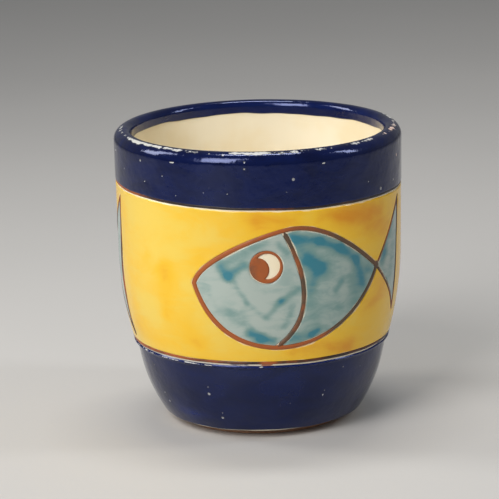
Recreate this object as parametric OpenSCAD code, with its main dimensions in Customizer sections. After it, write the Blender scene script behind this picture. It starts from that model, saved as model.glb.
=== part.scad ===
// Hand-painted glazed ceramic shot cup with two fish.
// Millimetres. +Z is up, the origin is on the axis at the plane the foot stands on.
// -Y is the front, the side of the first fish; azimuths turn from -Y towards +X.
// The cup is built from the clay outwards: clay, a cream coat, then the painted glazes.

/* [Cup wall] */
// Height of the finished cup, foot to lip
cup_h = 49.6; // [47:0.1:54]
// Outer radius just under the lip
lip_r = 24; // [23.6:0.1:24.8]
// Radius of the lip's outer shoulder
lip_round = 1.9; // [1.5:0.1:2.2]
// Radius of the lip's tighter inner edge
lip_inner_round = 1.1; // [0.9:0.1:1.4]
// Outer radius of the wall at the belly line
belly_r = 23.83; // [23.4:0.01:24.4]
// Height of the belly line, where the wall stops curving
belly_z = 30; // [28:0.5:33]
// Radius of the arc that draws the wall in below the belly line
belly_arc = 61; // [50:1:90]
// Thickness of the finished wall at the belly line
wall_t = 3.2; // [2.6:0.1:4]

/* [Foot section] */
// Height of the small step between the wall and the foot section
step_z = 13.4; // [12:0.1:14]
// Radius of the arc that draws the foot section in
foot_arc = 28; // [27:0.5:28.5]
// Axis distance of that arc's centre, negative on the far side
foot_arc_x = -6.8; // [-8:0.1:-6]
// Height of that arc's centre
foot_arc_z = 16.6; // [16:0.1:18]
// Rounding between the foot section and the underside
base_round = 2.6; // [1.5:0.1:3.5]
// Height of the bare foot ring
ring_h = 0.45; // [0.3:0.05:1]
// Outer radius of the foot ring
ring_r = 13.9; // [12.5:0.1:14.2]
// Width of the foot ring's flat face
ring_w = 3.1; // [2:0.1:5]

/* [Inside] */
// Height of the finished floor inside
floor_z = 5.5; // [4:0.5:9]

/* [Glaze] */
// Thickness of the cream coat
coat_t = 0.3; // [0.2:0.05:0.5]
// Thickness of the painted glaze on the cream coat
paint_t = 0.2; // [0.1:0.05:0.3]
// Strip of bare cream left between neighbouring glazes
halo = 0.1; // [0.08:0.02:0.3]
// Height where the cream coat stops and the bare clay foot begins
coat_low_z = 1; // [0.9:0.05:2]
// How far the blue goes down inside the lip
blue_inside = 2.4; // [1.6:0.1:8]
// Height of the lower edge of the dark line under the blue rim
upper_line_z = 40.6; // [40:0.1:43]
// Height of the lower edge of the brown line above the step
lower_line_z = 14.1; // [13.8:0.1:15]
// Width of both lines round the cup
ring_line_w = 0.5; // [0.3:0.05:0.8]

/* [Fish] */
// Azimuth of the middle of the front fish
front_az = 24; // [0:1:60]
// Azimuth of the middle of the back fish
back_az = 227; // [220:1:232]
// Length of the back fish against the front one
back_long = 1.2; // [1:0.02:1.2]
// Height of the back fish against the front one
back_high = 1.08; // [1:0.02:1.12]
// Width of the brown outline
outline_w = 0.66; // [0.4:0.02:0.8]
// Width of the tail's thinner outline
tail_line_w = 0.36; // [0.24:0.02:0.5]
// Radius of the blob of colour where body and tail meet
knot_r = 0.75; // [0.5:0.05:1]
// Radius of the eye
eye_r = 2.75; // [2:0.05:3.2]

/* [Hidden] */
$fn = 144;
far = 40;
lap = 0.5;
lip_x = lip_r - lip_round;
lip_z = cup_h - lip_round;
in_lip_z = cup_h - lip_inner_round;
belly_x = belly_r - belly_arc;
// slope of the wall above the belly line, and the inner wall that follows it
in_belly_r = belly_r - wall_t;
in_lip_r = lip_x - lip_inner_round;
// inner arc shares the outer arc's centre; the bowl below it is a fillet tangent to it
in_arc = belly_arc - wall_t;
in_low_z = 14;
in_sin = (belly_z - in_low_z) / in_arc;
in_low_r = belly_x + in_arc * sqrt(1 - in_sin * in_sin);
bowl_arc = (in_low_z - floor_z) / (1 - in_sin);
bowl_x = in_low_r - bowl_arc * sqrt(1 - in_sin * in_sin);
bowl_z = floor_z + bowl_arc;
// fillet between the foot section and the underside, tangent to both
base_z = ring_h + base_round;
base_reach = foot_arc - base_round;
base_sin = (foot_arc_z - base_z) / base_reach;
base_x = foot_arc_x + base_reach * sqrt(1 - base_sin * base_sin);
clay_in = coat_t + paint_t;
// fish drawing, in arc length along the wall (towards +X) and height
fish_mid = 27.5;
nose = [-21.2, 28];
crown = [-3.9, 37.1];
belly_pt = [-6, 17.1];
joint = [12.2, 28.6];
back_curve = [nose, nose + [1.2, 4.2], crown - [4.6, 0], crown, crown + [5.5, 0],
              joint + [-4.3, 3.35], joint];
belly_curve = [nose, nose + [3.6, -9.4], belly_pt - [4.2, 0], belly_pt, belly_pt + [8.1, 0],
               joint + [-2.95, -5.4], joint];
gill_curve = [[-6.5, 37.4], [-2.95, 31], [0.3, 22.1], [-7.8, 16.6]];
eye_at = [-9, 31];
tail_top = [20.7, 38.6];
// the back fish's tail reaches lower than the front one's
tail_low = [[18.8, 19.4], [18.8, 16.7]];
fish_az = [front_az, back_az];
fish_long = [1, back_long];
fish_high = [1, back_high];
steps = 8;
clay = [0.80, 0.66, 0.50];
cream = [0.93, 0.88, 0.74];
cobalt = [0.06, 0.12, 0.40];
yellow = [0.93, 0.74, 0.22];
turquoise = [0.55, 0.74, 0.74];
rust = [0.60, 0.33, 0.14];
line_brown = [0.22, 0.13, 0.08];

// ---- section of the wall, in radius and height, below the lip ----

// all that lies inside the outer surface moved in by d; neighbouring pieces overlap by lap
module solid_section(d) {
    meet_z = base_z - (base_round - d) * base_sin;
    polygon([[0, belly_z], [belly_r - d, belly_z], [lip_r - d, lip_z], [0, lip_z]]);
    intersection() {
        translate([belly_x, belly_z]) circle(r = belly_arc - d);
        translate([0, step_z + d]) square([far, belly_z + lap - step_z - d]);
    }
    intersection() {
        translate([foot_arc_x, foot_arc_z]) circle(r = foot_arc - d);
        translate([0, meet_z]) square([far, step_z + d + lap - meet_z]);
    }
    intersection() {
        translate([base_x, base_z]) circle(r = base_round - d);
        translate([base_x - lap, 0]) square([far, meet_z + lap]);
    }
    translate([0, ring_h + d]) square([base_x, foot_arc / 4]);
}

// the hollow inside, grown into the wall by d
module hollow_section(d) {
    meet_z = bowl_z - (bowl_arc + d) * in_sin;
    polygon([[0, belly_z], [in_belly_r + d, belly_z], [in_lip_r + d, in_lip_z], [0, in_lip_z]]);
    intersection() {
        translate([belly_x, belly_z]) circle(r = in_arc + d);
        translate([0, meet_z]) square([far, belly_z + lap - meet_z]);
    }
    intersection() {
        translate([bowl_x, bowl_z]) circle(r = bowl_arc + d);
        translate([bowl_x - lap, 0]) square([far, meet_z + lap]);
    }
    translate([0, floor_z - d]) square([bowl_x, bowl_arc]);
}

// the rounded lip above lip_z: outer shoulder, inner edge, and a core that overlaps both up to the crown
module lip_section(d) {
    core = (lip_inner_round - d) / 4;
    intersection() {
        translate([lip_x, lip_z]) circle(r = lip_round - d);
        translate([lip_x, lip_z]) square([far, far]);
    }
    intersection() {
        translate([lip_x, in_lip_z]) circle(r = lip_inner_round - d);
        translate([0, lip_z]) square([lip_x, far]);
    }
    translate([in_lip_r + d, lip_z]) square([lip_inner_round - d + core, in_lip_z - lip_z]);
    polygon([[lip_x - core, lip_z], [lip_x + core, lip_z], [lip_x + core, cup_h - d - core / 2],
             [lip_x, cup_h - d], [lip_x - core, cup_h - d - core / 2]]);
}

// outer skin between depths d0 and d1, from height z0 to z1
module outer_skin(d0, d1, z0, z1) {
    intersection() {
        difference() {
            solid_section(d0);
            solid_section(d1);
        }
        translate([0, z0]) square([far, z1 - z0]);
    }
}

// inner skin between depths d0 and d1, above height z0
module inner_skin(d0, d1, z0) {
    intersection() {
        difference() {
            hollow_section(d1);
            hollow_section(d0);
        }
        translate([0, z0]) square([far, in_lip_z - z0]);
    }
}

// ring of paint round the outside
module painted(z0, z1) {
    rotate_extrude() outer_skin(0, paint_t, z0, z1);
}

// ---- fish drawing ----

function curve_at(p, t) =
    pow(1 - t, 3) * p[0] + 3 * pow(1 - t, 2) * t * p[1] + 3 * (1 - t) * t * t * p[2] + pow(t, 3) * p[3];

// points along a chain of cubic curves that share their end points
function trace(p) = concat(
    [for (i = [0 : 3 : len(p) - 4], j = [0 : steps - 1]) curve_at([for (m = [0 : 3]) p[i + m]], j / steps)],
    [p[len(p) - 1]]);

// the drawing sized for fish k
function fit(c, k) = [for (p = c) [p[0] * fish_long[k], fish_mid + (p[1] - fish_mid) * fish_high[k]]];

// a run of points moved d to its left
function shift(c, d) = [for (i = [0 : len(c) - 1])
    let (v = c[min(i + 1, len(c) - 1)] - c[max(i - 1, 0)])
    c[i] + d / norm(v) * [-v[1], v[0]]];

// arc length along the wall turned into distance across the fish's flat view
function wrap(c) = [for (p = c) [belly_r * sin(p[0] / belly_r * 180 / PI), p[1]]];

function back_line(k) = trace(fit(back_curve, k));
function belly_line(k) = trace(fit(belly_curve, k));
function gill(k) = trace(fit(gill_curve, k));
function joint_at(k) = fit([joint], k)[0];
function tail_upper(k) = fit([joint, tail_top], k);
function tail_edge(k) = fit([tail_top, tail_low[k]], k);
function tail_lower(k) = trace(fit([joint, joint + [2.2, -2.6], tail_low[k] + [-1.5, 4.6], tail_low[k]], k));

// brush stroke of width w along c
module stroke(c, w) {
    left = shift(c, w / 2);
    right = shift(c, -w / 2);
    polygon(wrap(concat(left, [for (i = [len(c) - 1 : -1 : 0]) right[i]])));
}

module spot(at, r) {
    polygon(wrap([for (i = [0 : 23]) at + r * [cos(15 * i), sin(15 * i)]]));
}

// all that lies under c, or over it when top is the cup's height, out to x = reach
module side_of(c, top, reach) {
    w = wrap(c);
    last = w[len(w) - 1];
    polygon(concat(w, [[max(reach, last[0]), last[1]], [max(reach, last[0]), top], [w[0][0], top]]));
}

// all that lies on the nose side of a line drawn downwards
module ahead_of(c) {
    polygon(concat(wrap(c), [[-far, 0], [-far, cup_h]]));
}

// body of fish k inside its outline, grown by d
module body_area(k, d) {
    intersection() {
        side_of(shift(back_line(k), d), 0, 0);
        side_of(shift(belly_line(k), -d), cup_h, 0);
    }
}

module tail_area(k, d) {
    intersection() {
        side_of(shift(tail_upper(k), d), 0, far);
        side_of(shift(tail_lower(k), -d), cup_h, far);
        ahead_of(shift(tail_edge(k), d));
    }
}

// paint of the drawing laid on the wall at the azimuth of fish k
module on_wall(k) {
    intersection() {
        painted(step_z + 1, upper_line_z);
        rotate([0, 0, fish_az[k]]) rotate([90, 0, 0]) linear_extrude(height = far) children();
    }
}

// ---- parts of a fish ----

body_edge = outline_w / 2 + halo;
tail_edge_w = tail_line_w / 2 + halo;

module fish_outline(k) {
    color(rust) union() {
        on_wall(k) difference() {
            body_area(k, outline_w / 2);
            body_area(k, -outline_w / 2);
        }
        on_wall(k) spot(joint_at(k), knot_r);
    }
}

module fish_gill_line(k) {
    color(rust) on_wall(k) intersection() {
        stroke(gill(k), outline_w);
        body_area(k, -body_edge);
    }
}

module fish_head(k) {
    color(turquoise) on_wall(k) difference() {
        intersection() {
            body_area(k, -body_edge);
            ahead_of(shift(gill(k), -body_edge));
        }
        spot(fit([eye_at], k)[0], eye_r + halo);
    }
}

module fish_body(k) {
    color(turquoise) on_wall(k) difference() {
        body_area(k, -body_edge);
        ahead_of(shift(gill(k), body_edge));
        spot(joint_at(k), knot_r + halo);
    }
}

// brown disc with a crescent left open for the cream beneath
module fish_eye(k) {
    at = fit([eye_at], k)[0];
    color(rust) on_wall(k) difference() {
        spot(at, eye_r);
        difference() {
            spot(at + eye_r * [0.05, 0.045], eye_r * 0.75);
            spot(at + eye_r * [-0.54, -0.15], eye_r * 0.73);
        }
    }
}

module fish_tail_outline(k) {
    color(rust) on_wall(k) difference() {
        union() {
            stroke(tail_upper(k), tail_line_w);
            stroke(tail_edge(k), tail_line_w);
            stroke(tail_lower(k), tail_line_w);
        }
        spot(joint_at(k), knot_r + halo);
    }
}

module fish_tail(k) {
    color(turquoise) on_wall(k) difference() {
        tail_area(k, -tail_edge_w);
        spot(joint_at(k), knot_r + halo);
    }
}

// opening in the yellow for the whole of fish k
module fish_window(k) {
    rotate([0, 0, fish_az[k]]) rotate([90, 0, 0]) linear_extrude(height = far) union() {
        body_area(k, body_edge);
        tail_area(k, tail_edge_w);
        spot(joint_at(k), knot_r + halo);
        spot(tail_edge(k)[0], tail_edge_w);
        spot(tail_edge(k)[1], tail_edge_w);
    }
}

// ---- the nodes ----

// fired clay cup with its bare foot ring
module clay_body() {
    color(clay) rotate_extrude() union() {
        difference() {
            solid_section(clay_in);
            hollow_section(clay_in);
        }
        lip_section(clay_in);
        translate([ring_r - ring_w, 0]) square([ring_w, ring_h + clay_in]);
    }
}

// one coat over the inside, the lip and the outside down to the bare foot
module cream_glaze() {
    color(cream) rotate_extrude() union() {
        outer_skin(paint_t, clay_in, coat_low_z, lip_z);
        inner_skin(paint_t, clay_in, 0);
        difference() {
            lip_section(paint_t);
            lip_section(clay_in);
        }
    }
}

// blue over the lip, down the outside to the dark line and a little way down the inside
module rim_blue_glaze() {
    color(cobalt) rotate_extrude() union() {
        outer_skin(0, paint_t, upper_line_z + ring_line_w + halo / 2, lip_z);
        inner_skin(0, paint_t, cup_h - blue_inside);
        difference() {
            lip_section(0);
            lip_section(paint_t);
        }
    }
}

module upper_line() {
    color(line_brown) painted(upper_line_z, upper_line_z + ring_line_w);
}

module yellow_glaze() {
    color(yellow) difference() {
        painted(lower_line_z + ring_line_w + halo, upper_line_z - halo);
        for (k = [0, 1]) fish_window(k);
    }
}

module lower_line() {
    color(line_brown) painted(lower_line_z, lower_line_z + ring_line_w);
}

// blue on the foot section, over the step and up to a thin cream edge under the lower line
module foot_blue_glaze() {
    color(cobalt) rotate_extrude() outer_skin(0, paint_t, coat_low_z + 3 * halo, lower_line_z - 2 * halo);
}

module front_fish_outline() fish_outline(0);
module front_fish_gill_line() fish_gill_line(0);
module front_fish_head() fish_head(0);
module front_fish_body() fish_body(0);
module front_fish_eye() fish_eye(0);
module front_fish_tail_outline() fish_tail_outline(0);
module front_fish_tail() fish_tail(0);
module back_fish_outline() fish_outline(1);
module back_fish_gill_line() fish_gill_line(1);
module back_fish_head() fish_head(1);
module back_fish_body() fish_body(1);
module back_fish_eye() fish_eye(1);
module back_fish_tail_outline() fish_tail_outline(1);
module back_fish_tail() fish_tail(1);

clay_body();
cream_glaze();
rim_blue_glaze();
upper_line();
yellow_glaze();
lower_line();
foot_blue_glaze();
front_fish_outline();
front_fish_gill_line();
front_fish_head();
front_fish_body();
front_fish_eye();
front_fish_tail_outline();
front_fish_tail();
back_fish_outline();
back_fish_gill_line();
back_fish_head();
back_fish_body();
back_fish_eye();
back_fish_tail_outline();
back_fish_tail();
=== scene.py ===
"""A hand-painted glazed shot cup: blue rim and foot, and a yellow band with two turquoise fish.

Every piece follows one wall line, the cup's half section. A point of a piece is given by its azimuth,
its place along that line and its depth under the finished surface. Azimuth 0 is the front (-Y) and
grows towards +X. Shapes are worked out in millimetres and written to the meshes in metres.
"""

import bpy
import numpy as np
from bpy.props import FloatProperty, FloatVectorProperty, PointerProperty
from mathutils import Matrix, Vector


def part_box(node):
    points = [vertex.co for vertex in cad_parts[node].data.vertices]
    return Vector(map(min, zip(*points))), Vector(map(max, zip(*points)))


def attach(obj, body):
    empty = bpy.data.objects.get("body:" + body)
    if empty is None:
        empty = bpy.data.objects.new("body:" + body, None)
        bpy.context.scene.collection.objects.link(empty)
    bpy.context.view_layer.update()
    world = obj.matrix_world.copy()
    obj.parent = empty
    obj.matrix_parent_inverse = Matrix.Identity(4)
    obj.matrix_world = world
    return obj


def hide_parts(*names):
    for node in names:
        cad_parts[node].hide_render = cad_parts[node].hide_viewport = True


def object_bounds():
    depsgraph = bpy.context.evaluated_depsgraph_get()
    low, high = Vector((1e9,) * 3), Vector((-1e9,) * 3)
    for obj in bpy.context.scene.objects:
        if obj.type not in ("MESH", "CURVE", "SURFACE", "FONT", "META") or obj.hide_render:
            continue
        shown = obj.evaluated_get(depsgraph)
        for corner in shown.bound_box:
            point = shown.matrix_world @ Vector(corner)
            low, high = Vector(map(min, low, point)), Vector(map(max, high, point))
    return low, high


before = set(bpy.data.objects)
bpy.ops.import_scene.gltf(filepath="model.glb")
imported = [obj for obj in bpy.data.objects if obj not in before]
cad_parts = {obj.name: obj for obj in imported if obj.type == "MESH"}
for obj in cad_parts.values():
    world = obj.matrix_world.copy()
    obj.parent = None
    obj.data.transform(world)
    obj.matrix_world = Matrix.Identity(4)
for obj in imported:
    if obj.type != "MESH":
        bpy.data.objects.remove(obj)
CAD_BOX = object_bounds()

bl_info = {
    "name": "Painted shot cup",
    "version": (1, 0, 0),
    "blender": (4, 5, 0),
    "location": "3D View > Sidebar > Cup",
    "description": "Builds a glazed shot cup with a painted band of two fish",
    "category": "Object",
}

MM = 0.001
FISH = ("front", "back")
# depths under the finished surface, in millimetres
COAT_TOP = 0.2
COAT_UNDER = 0.45
CLAY_TOP = 0.5
PAINT_UNDER = 0.3
PAINT_EDGE = 0.25
WASH_TOP = 0.05
LINE_TOP = 0.06
# width of the rounding along a glaze's border
ROLL = 0.26
# distance round the wall for one degree of azimuth, and the radius for sums on the yellow band
MM_PER_DEGREE = 0.41
BAND_RADIUS = 23.3
TURN = 2 * np.pi
# gloss of the blue: refraction, and the tint of what it mirrors face on
COBALT_IOR = 1.6
COBALT_SHEEN = (0.5, 0.58, 1.0, 1.0)
# camera: place in metres, pitch, yaw and roll in radians, and lens in millimetres
CAMERA_AT = (0.0, -0.45, 0.1397)
CAMERA_TURN = (0.24302, -0.00386, -0.02199)
CAMERA_LENS = 198.36
# what the lights are aimed at, in metres
LIGHT_AIM = (0, 0, 0.045)


def lowest(node):
    """Lowest place of a CAD node, in metres."""
    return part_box(node)[0][2]


# ---- sizes and colours that a user would change ----


def length(name, description, default, low, high):
    """A length in metres for the sidebar."""
    return FloatProperty(name=name, description=description, default=default, min=low, max=high,
                         unit="LENGTH", subtype="DISTANCE", precision=5)


def colour(name, description, default):
    """A colour for the sidebar."""
    return FloatVectorProperty(name=name, description=description, default=default, size=3, min=0, max=1,
                               subtype="COLOR")


def strength(name, description, default):
    """A number of 0 or more for the sidebar."""
    return FloatProperty(name=name, description=description, default=default, min=0)


class CupSize(bpy.types.PropertyGroup):
    """Sizes of the turned clay cup."""

    height: length("Height", "Table to the top of the lip", CAD_BOX[1].z, 0.045, 0.055)
    lip_radius: length("Lip radius", "Outer radius just under the lip", CAD_BOX[1].x, 0.0235, 0.0245)
    lip_round: length("Lip shoulder", "Radius of the lip's outer shoulder", 0.0019, 0.0015, 0.0022)
    lip_inner: length("Lip inner edge", "Radius of the lip's tighter inner edge", 0.0011, 0.0009, 0.0014)
    belly_radius: length("Belly radius", "Outer radius at the belly line", 0.02383, 0.0234, 0.024)
    belly_height: length("Belly height", "Height where the wall stops curving", 0.03, 0.028, 0.033)
    wall: length("Wall", "Thickness of the finished wall", 0.0032, 0.0026, 0.004)
    floor_height: length("Floor", "Height of the floor inside", 0.0055, 0.004, 0.009)
    step_height: length("Step", "Height of the small step above the foot", 0.0134, 0.012, 0.014)
    ring_radius: length("Foot ring radius", "Outer radius of the bare foot ring", 0.0139, 0.0125, 0.0142)
    ring_width: length("Foot ring width", "Width of the ring's flat face", 0.0031, 0.002, 0.005)
    coat_low: length("Glaze line", "Height where the cream coat stops above the table", 0.001, 0.0005, 0.002)


class BrushSize(bpy.types.PropertyGroup):
    """Sizes of the painted lines and washes."""

    upper_line: length("Upper line", "Lower edge of the dark line under the blue rim", lowest("upper_line"),
                       0.04, 0.043)
    lower_line: length("Lower line", "Lower edge of the line above the step", lowest("lower_line"),
                       0.0138, 0.015)
    ring_line: length("Ring line width", "Width of the lines round the cup", 0.00056, 0.0003, 0.0008)
    outline: length("Outline width", "Width of a fish's brown outline", 0.00076, 0.0004, 0.0008)
    tail_line: length("Tail line width", "Width of the tail's thinner outline", 0.00044, 0.00026, 0.0005)
    lap: length("Lap", "How far a wash of colour runs in under a brush line", 0.0001, 0.00002, 0.00015)
    bare: length("Bare strip", "Cream left bare under the line below the rim", 0.00006, 0.00002, 0.0002)
    knot: length("Knot", "Radius of the blob where body and tail meet", 0.00075, 0.0005, 0.001)
    eye: length("Eye", "Radius of the eye", 0.00275, 0.002, 0.0032)
    unsteady: FloatProperty(name="Unsteady hand", description="How much the brush lines waver", default=1.0,
                            min=0, max=2, subtype="FACTOR")


class GlazeColours(bpy.types.PropertyGroup):
    """Colours of the clay and the glazes."""

    clay: colour("Clay", "Fired clay of the foot ring", (0.43, 0.235, 0.14))
    clay_dark: colour("Clay, dark", "Darker grains of the clay", (0.2, 0.1, 0.06))
    cream: colour("Cream", "Cream coat", (0.84, 0.73, 0.5))
    cream_pale: colour("Cream, pale", "Cream coat where it is thick", (0.88, 0.81, 0.63))
    # white of chips and pinholes, and also of the painted highlights on the blue crown, the step and the
    # cream ledge
    chip_and_highlight: colour("Chip", "White body that shows through worn glaze", (0.56, 0.56, 0.52))
    chip_pink: colour("Chip, pink", "Body where it is stained with clay", (0.72, 0.52, 0.42))
    cobalt: colour("Cobalt", "Thick blue glaze", (0.0003, 0.0018, 0.022))
    cobalt_bright: colour("Cobalt, thin", "Blue glaze where it is thin", (0.0015, 0.011, 0.1))
    yellow_pale: colour("Yellow, thin", "Thin wash of yellow", (0.8, 0.57, 0.085))
    yellow: colour("Yellow", "Yellow glaze", (0.84, 0.5, 0.02))
    orange: colour("Orange", "Yellow glaze where it pools", (0.72, 0.28, 0.003))
    turquoise_pale: colour("Turquoise, thin", "Thin wash of turquoise", (0.38, 0.45, 0.41))
    turquoise: colour("Turquoise", "Turquoise glaze", (0.165, 0.29, 0.27))
    turquoise_deep: colour("Turquoise, deep", "Loaded brush strokes", (0.03, 0.19, 0.25))
    rust: colour("Rust", "Brown outline colour", (0.34, 0.082, 0.013))
    rust_dark: colour("Rust, dark", "Outline colour where it is thick", (0.085, 0.053, 0.03))
    line_dark: colour("Dark line", "Line under the rim", (0.018, 0.01, 0.009))


class StageSetup(bpy.types.PropertyGroup):
    """Light and floor."""

    key: strength("Key light", "Soft light from the front left, in watts", 0.68)
    left: strength("Left light", "Light from the left and behind, in watts", 0.17)
    right: strength("Right light", "Light from the right, in watts", 0.09)
    top: strength("Top light", "Light overhead, in watts", 0.55)
    world: strength("Room light", "Even light of the room", 0.22)
    floor: colour("Floor", "Colour of the floor", (0.52, 0.51, 0.49))


# ---- small sums used by several pieces ----


def ease(x):
    """Smooth step: 0 below 0, 1 above 1, 3x^2 - 2x^3 between."""
    x = np.clip(x, 0, 1)
    return x * x * (3 - 2 * x)


def waver(turn, seed, size, waves=(2, 3, 5, 8, 13, 21)):
    """Sum of sine waves of a turn (radians), each at its own phase, with amplitude falling as the
    square root of the wave number, so that it closes on itself after a full turn."""
    rng = np.random.default_rng(seed)
    phases = rng.uniform(0, TURN, len(waves))
    total = sum(np.sin(k * turn + p) / np.sqrt(k) for k, p in zip(waves, phases))
    return size * total


def ripple(turn, along, seed, size):
    """Sum of slanting sine waves over azimuth (radians) and distance along the wall (mm), for uneven
    glaze."""
    rng = np.random.default_rng(seed)
    total = 0
    for _ in range(9):
        k, m, p = rng.integers(1, 17), rng.uniform(-0.9, 0.9), rng.uniform(0, TURN)
        total = total + np.sin(k * turn + m * along + p)
    return size * total / 3


def spread(count, dense):
    """Numbers from 0 to 1 that crowd towards both ends; dense 0 is even, 1 is a full cosine."""
    t = np.linspace(0, 1, count)
    return (1 - dense) * t + dense * (1 - np.cos(np.pi * t)) / 2


def bell_of(distance, width):
    """A bell curve of a distance: 1 at nothing, 1/e at one width."""
    return np.exp(-((distance / width) ** 2))


def dabs(across, height, marks):
    """Sum of brush dabs. A mark is two ends (across, height), a width and a strength, all but the
    strength in mm; a point gets the strength times a bell curve of its distance to the line between the
    ends."""
    total = np.zeros_like(across)
    for x0, z0, x1, z1, width, strength in marks:
        dx, dz = x1 - x0, z1 - z0
        t = np.clip(((across - x0) * dx + (height - z0) * dz) / max(dx * dx + dz * dz, 1e-9), 0, 1)
        gap = np.hypot(across - x0 - t * dx, height - z0 - t * dz)
        total += strength * bell_of(gap, width)
    return total


def distance_to(points, line):
    """Distance from each point (N, 2) to the nearest part of an open line (M, 2), a block of points at a
    time so that the sums fit in memory."""
    block = 4000
    a, b = line[:-1], line[1:]
    ab = b - a
    best = np.full(len(points), np.inf)
    for start in range(0, len(points), block):
        p = points[start:start + block, None, :]
        t = np.clip(((p - a) * ab).sum(2) / np.maximum((ab * ab).sum(1), 1e-12), 0, 1)
        gap = np.linalg.norm(p - a - t[..., None] * ab, axis=2)
        best[start:start + block] = gap.min(1)
    return best


# ---- the wall line ----


def arc(centre, radius, start, end):
    """Points on an arc between two angles in degrees, about a tenth of a millimetre apart."""
    count = max(4, int(abs(np.radians(end - start)) * radius / 0.1))
    a = np.radians(np.linspace(start, end, count))
    return np.stack([centre[0] + radius * np.cos(a), centre[1] + radius * np.sin(a)], 1)


def cubic(t, p0, p1, p2, p3):
    """Points of a cubic curve: the Bernstein sum of its four points at t from 0 to 1."""
    return (1 - t) ** 3 * p0 + 3 * (1 - t) ** 2 * t * p1 + 3 * (1 - t) * t * t * p2 + t ** 3 * p3


class WallLine:
    """The cup's half section as one line in radius and height (mm), from the foot ring up the outside,
    over the lip and down the inside to the middle of the floor. run is the distance along it."""

    def __init__(self, size):
        lip, lip_in, top = size.lip_round / MM, size.lip_inner / MM, size.height / MM
        lip_x = size.lip_radius / MM - lip
        belly_r, belly_z = size.belly_radius / MM, size.belly_height / MM
        step, floor = size.step_height / MM, size.floor_height / MM
        self.ring = size.ring_radius / MM
        ring_height, half_step = 0.45, 0.35
        # arcs: wall below the belly line, foot section, and the rounding into the underside
        belly, foot, base = 61.0, 28.0, 2.6
        belly_at, foot_at = (belly_r - belly, belly_z), (-6.8, 16.6)
        base_z = ring_height + base
        base_turn = np.degrees(np.arcsin((foot_at[1] - base_z) / (foot - base)))
        base_at = (foot_at[0] + (foot - base) * np.cos(np.radians(base_turn)), base_z)
        foot_top = np.degrees(np.arcsin((step - half_step - foot_at[1]) / foot))
        belly_low = np.degrees(np.arcsin((step + half_step - belly_z) / belly))
        below = arc(foot_at, foot, -base_turn, foot_top)
        above = arc(belly_at, belly, belly_low, 0)
        # the step is a short S between the two arcs
        t = np.linspace(0, 1, 16)[1:-1, None]
        p0, p3 = below[-1], above[0]
        step_curve = cubic(t, p0, p0 + (0.06, 0.5), p3 - (0.06, 0.45), p3)
        # inside: the wall follows the outer arc, then a bowl rounds it into the floor
        inner, low = belly - size.wall / MM, 14.0
        sine = (belly_z - low) / inner
        low_r = belly_at[0] + inner * np.sqrt(1 - sine * sine)
        bowl = (low - floor) / (1 - sine)
        bowl_at = (low_r - bowl * np.sqrt(1 - sine * sine), floor + bowl)
        low_turn = np.degrees(np.arcsin(sine))
        parts = [
            np.linspace((self.ring, ring_height), (base_at[0], ring_height), 8),
            arc(base_at, base, -90, -base_turn),
            below,
            step_curve,
            above,
            np.linspace((belly_r, belly_z), (lip_x + lip, top - lip), 180),
            arc((lip_x, top - lip), lip, 0, 90),
            arc((lip_x, top - lip_in), lip_in, 90, 180),
            np.linspace((lip_x - lip_in, top - lip_in), (belly_at[0] + inner, belly_z), 180),
            arc(belly_at, inner, 0, -low_turn),
            arc(bowl_at, bowl, -low_turn, -90),
            np.linspace((bowl_at[0], floor), (0, floor), 60),
        ]
        line = np.concatenate(parts)
        keep = np.concatenate([[True], np.linalg.norm(np.diff(line, axis=0), axis=1) > 1e-6])
        line = line[keep]
        tangent = np.gradient(line, axis=0)
        for _ in range(2):
            tangent[1:-1] = (tangent[:-2] + 2 * tangent[1:-1] + tangent[2:]) / 4
        tangent /= np.linalg.norm(tangent, axis=1)[:, None]
        tangent[-1] = (-1, 0)
        self.points = line
        self.normals = np.stack([tangent[:, 1], -tangent[:, 0]], 1)
        self.run = np.concatenate([[0], np.cumsum(np.linalg.norm(np.diff(line, axis=0), axis=1))])
        self.top = int(np.argmax(line[:, 1]))
        self.end = self.run[-1]
        self.step_run = self.outside(step)

    def outside(self, height):
        """Distance along the line at a height on the outside."""
        return np.interp(height, self.points[:self.top, 1], self.run[:self.top])

    def inside(self, height):
        """Distance along the line at a height on the inside."""
        down = slice(self.top, None)
        return np.interp(-height, -self.points[down, 1], self.run[down])

    def tilt(self, run):
        """How far the surface leans back at a distance along the line: 0 upright, 90 level, 180 upright
        inside."""
        return np.degrees(np.arctan2(np.interp(run, self.run, self.normals[:, 1]),
                                     np.interp(run, self.run, self.normals[:, 0])))

    def section(self, run, depth):
        """Radius and height at a distance along the line, moved in by depth along its normal."""
        r = np.interp(run, self.run, self.points[:, 0]) - depth * np.interp(run, self.run, self.normals[:, 0])
        z = np.interp(run, self.run, self.points[:, 1]) - depth * np.interp(run, self.run, self.normals[:, 1])
        return np.maximum(r, 0), z

    def radius(self, height):
        """Outer radius of the finished wall at a height."""
        return np.interp(height, self.points[:self.top, 1], self.points[:self.top, 0])

    def turned(self, turn, run, depth):
        """Points at azimuth turn (radians), distance run along the line and depth under the surface."""
        r, z = self.section(run, depth)
        return np.stack([r * np.sin(turn), -r * np.cos(turn), z], -1)

    def painted(self, turn, height, depth):
        """Points of the outer wall at azimuth turn (radians) and height, depth under the surface."""
        return self.turned(turn, self.outside(height), depth)


# ---- meshes ----

# corners that round to the same place at this many steps to the millimetre are one
WELD_STEPS = 2e4


def sheet(points, wrap_rows=True, wrap_across=False, drop=None, **fields):
    """One patch of a piece: a grid of points (rows, across, 3) in mm, which of its two ways close on
    themselves, the quads to leave out, and the named fields that its material reads."""
    return {"points": points, "rows": wrap_rows, "across": wrap_across, "drop": drop, "fields": fields}


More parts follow.
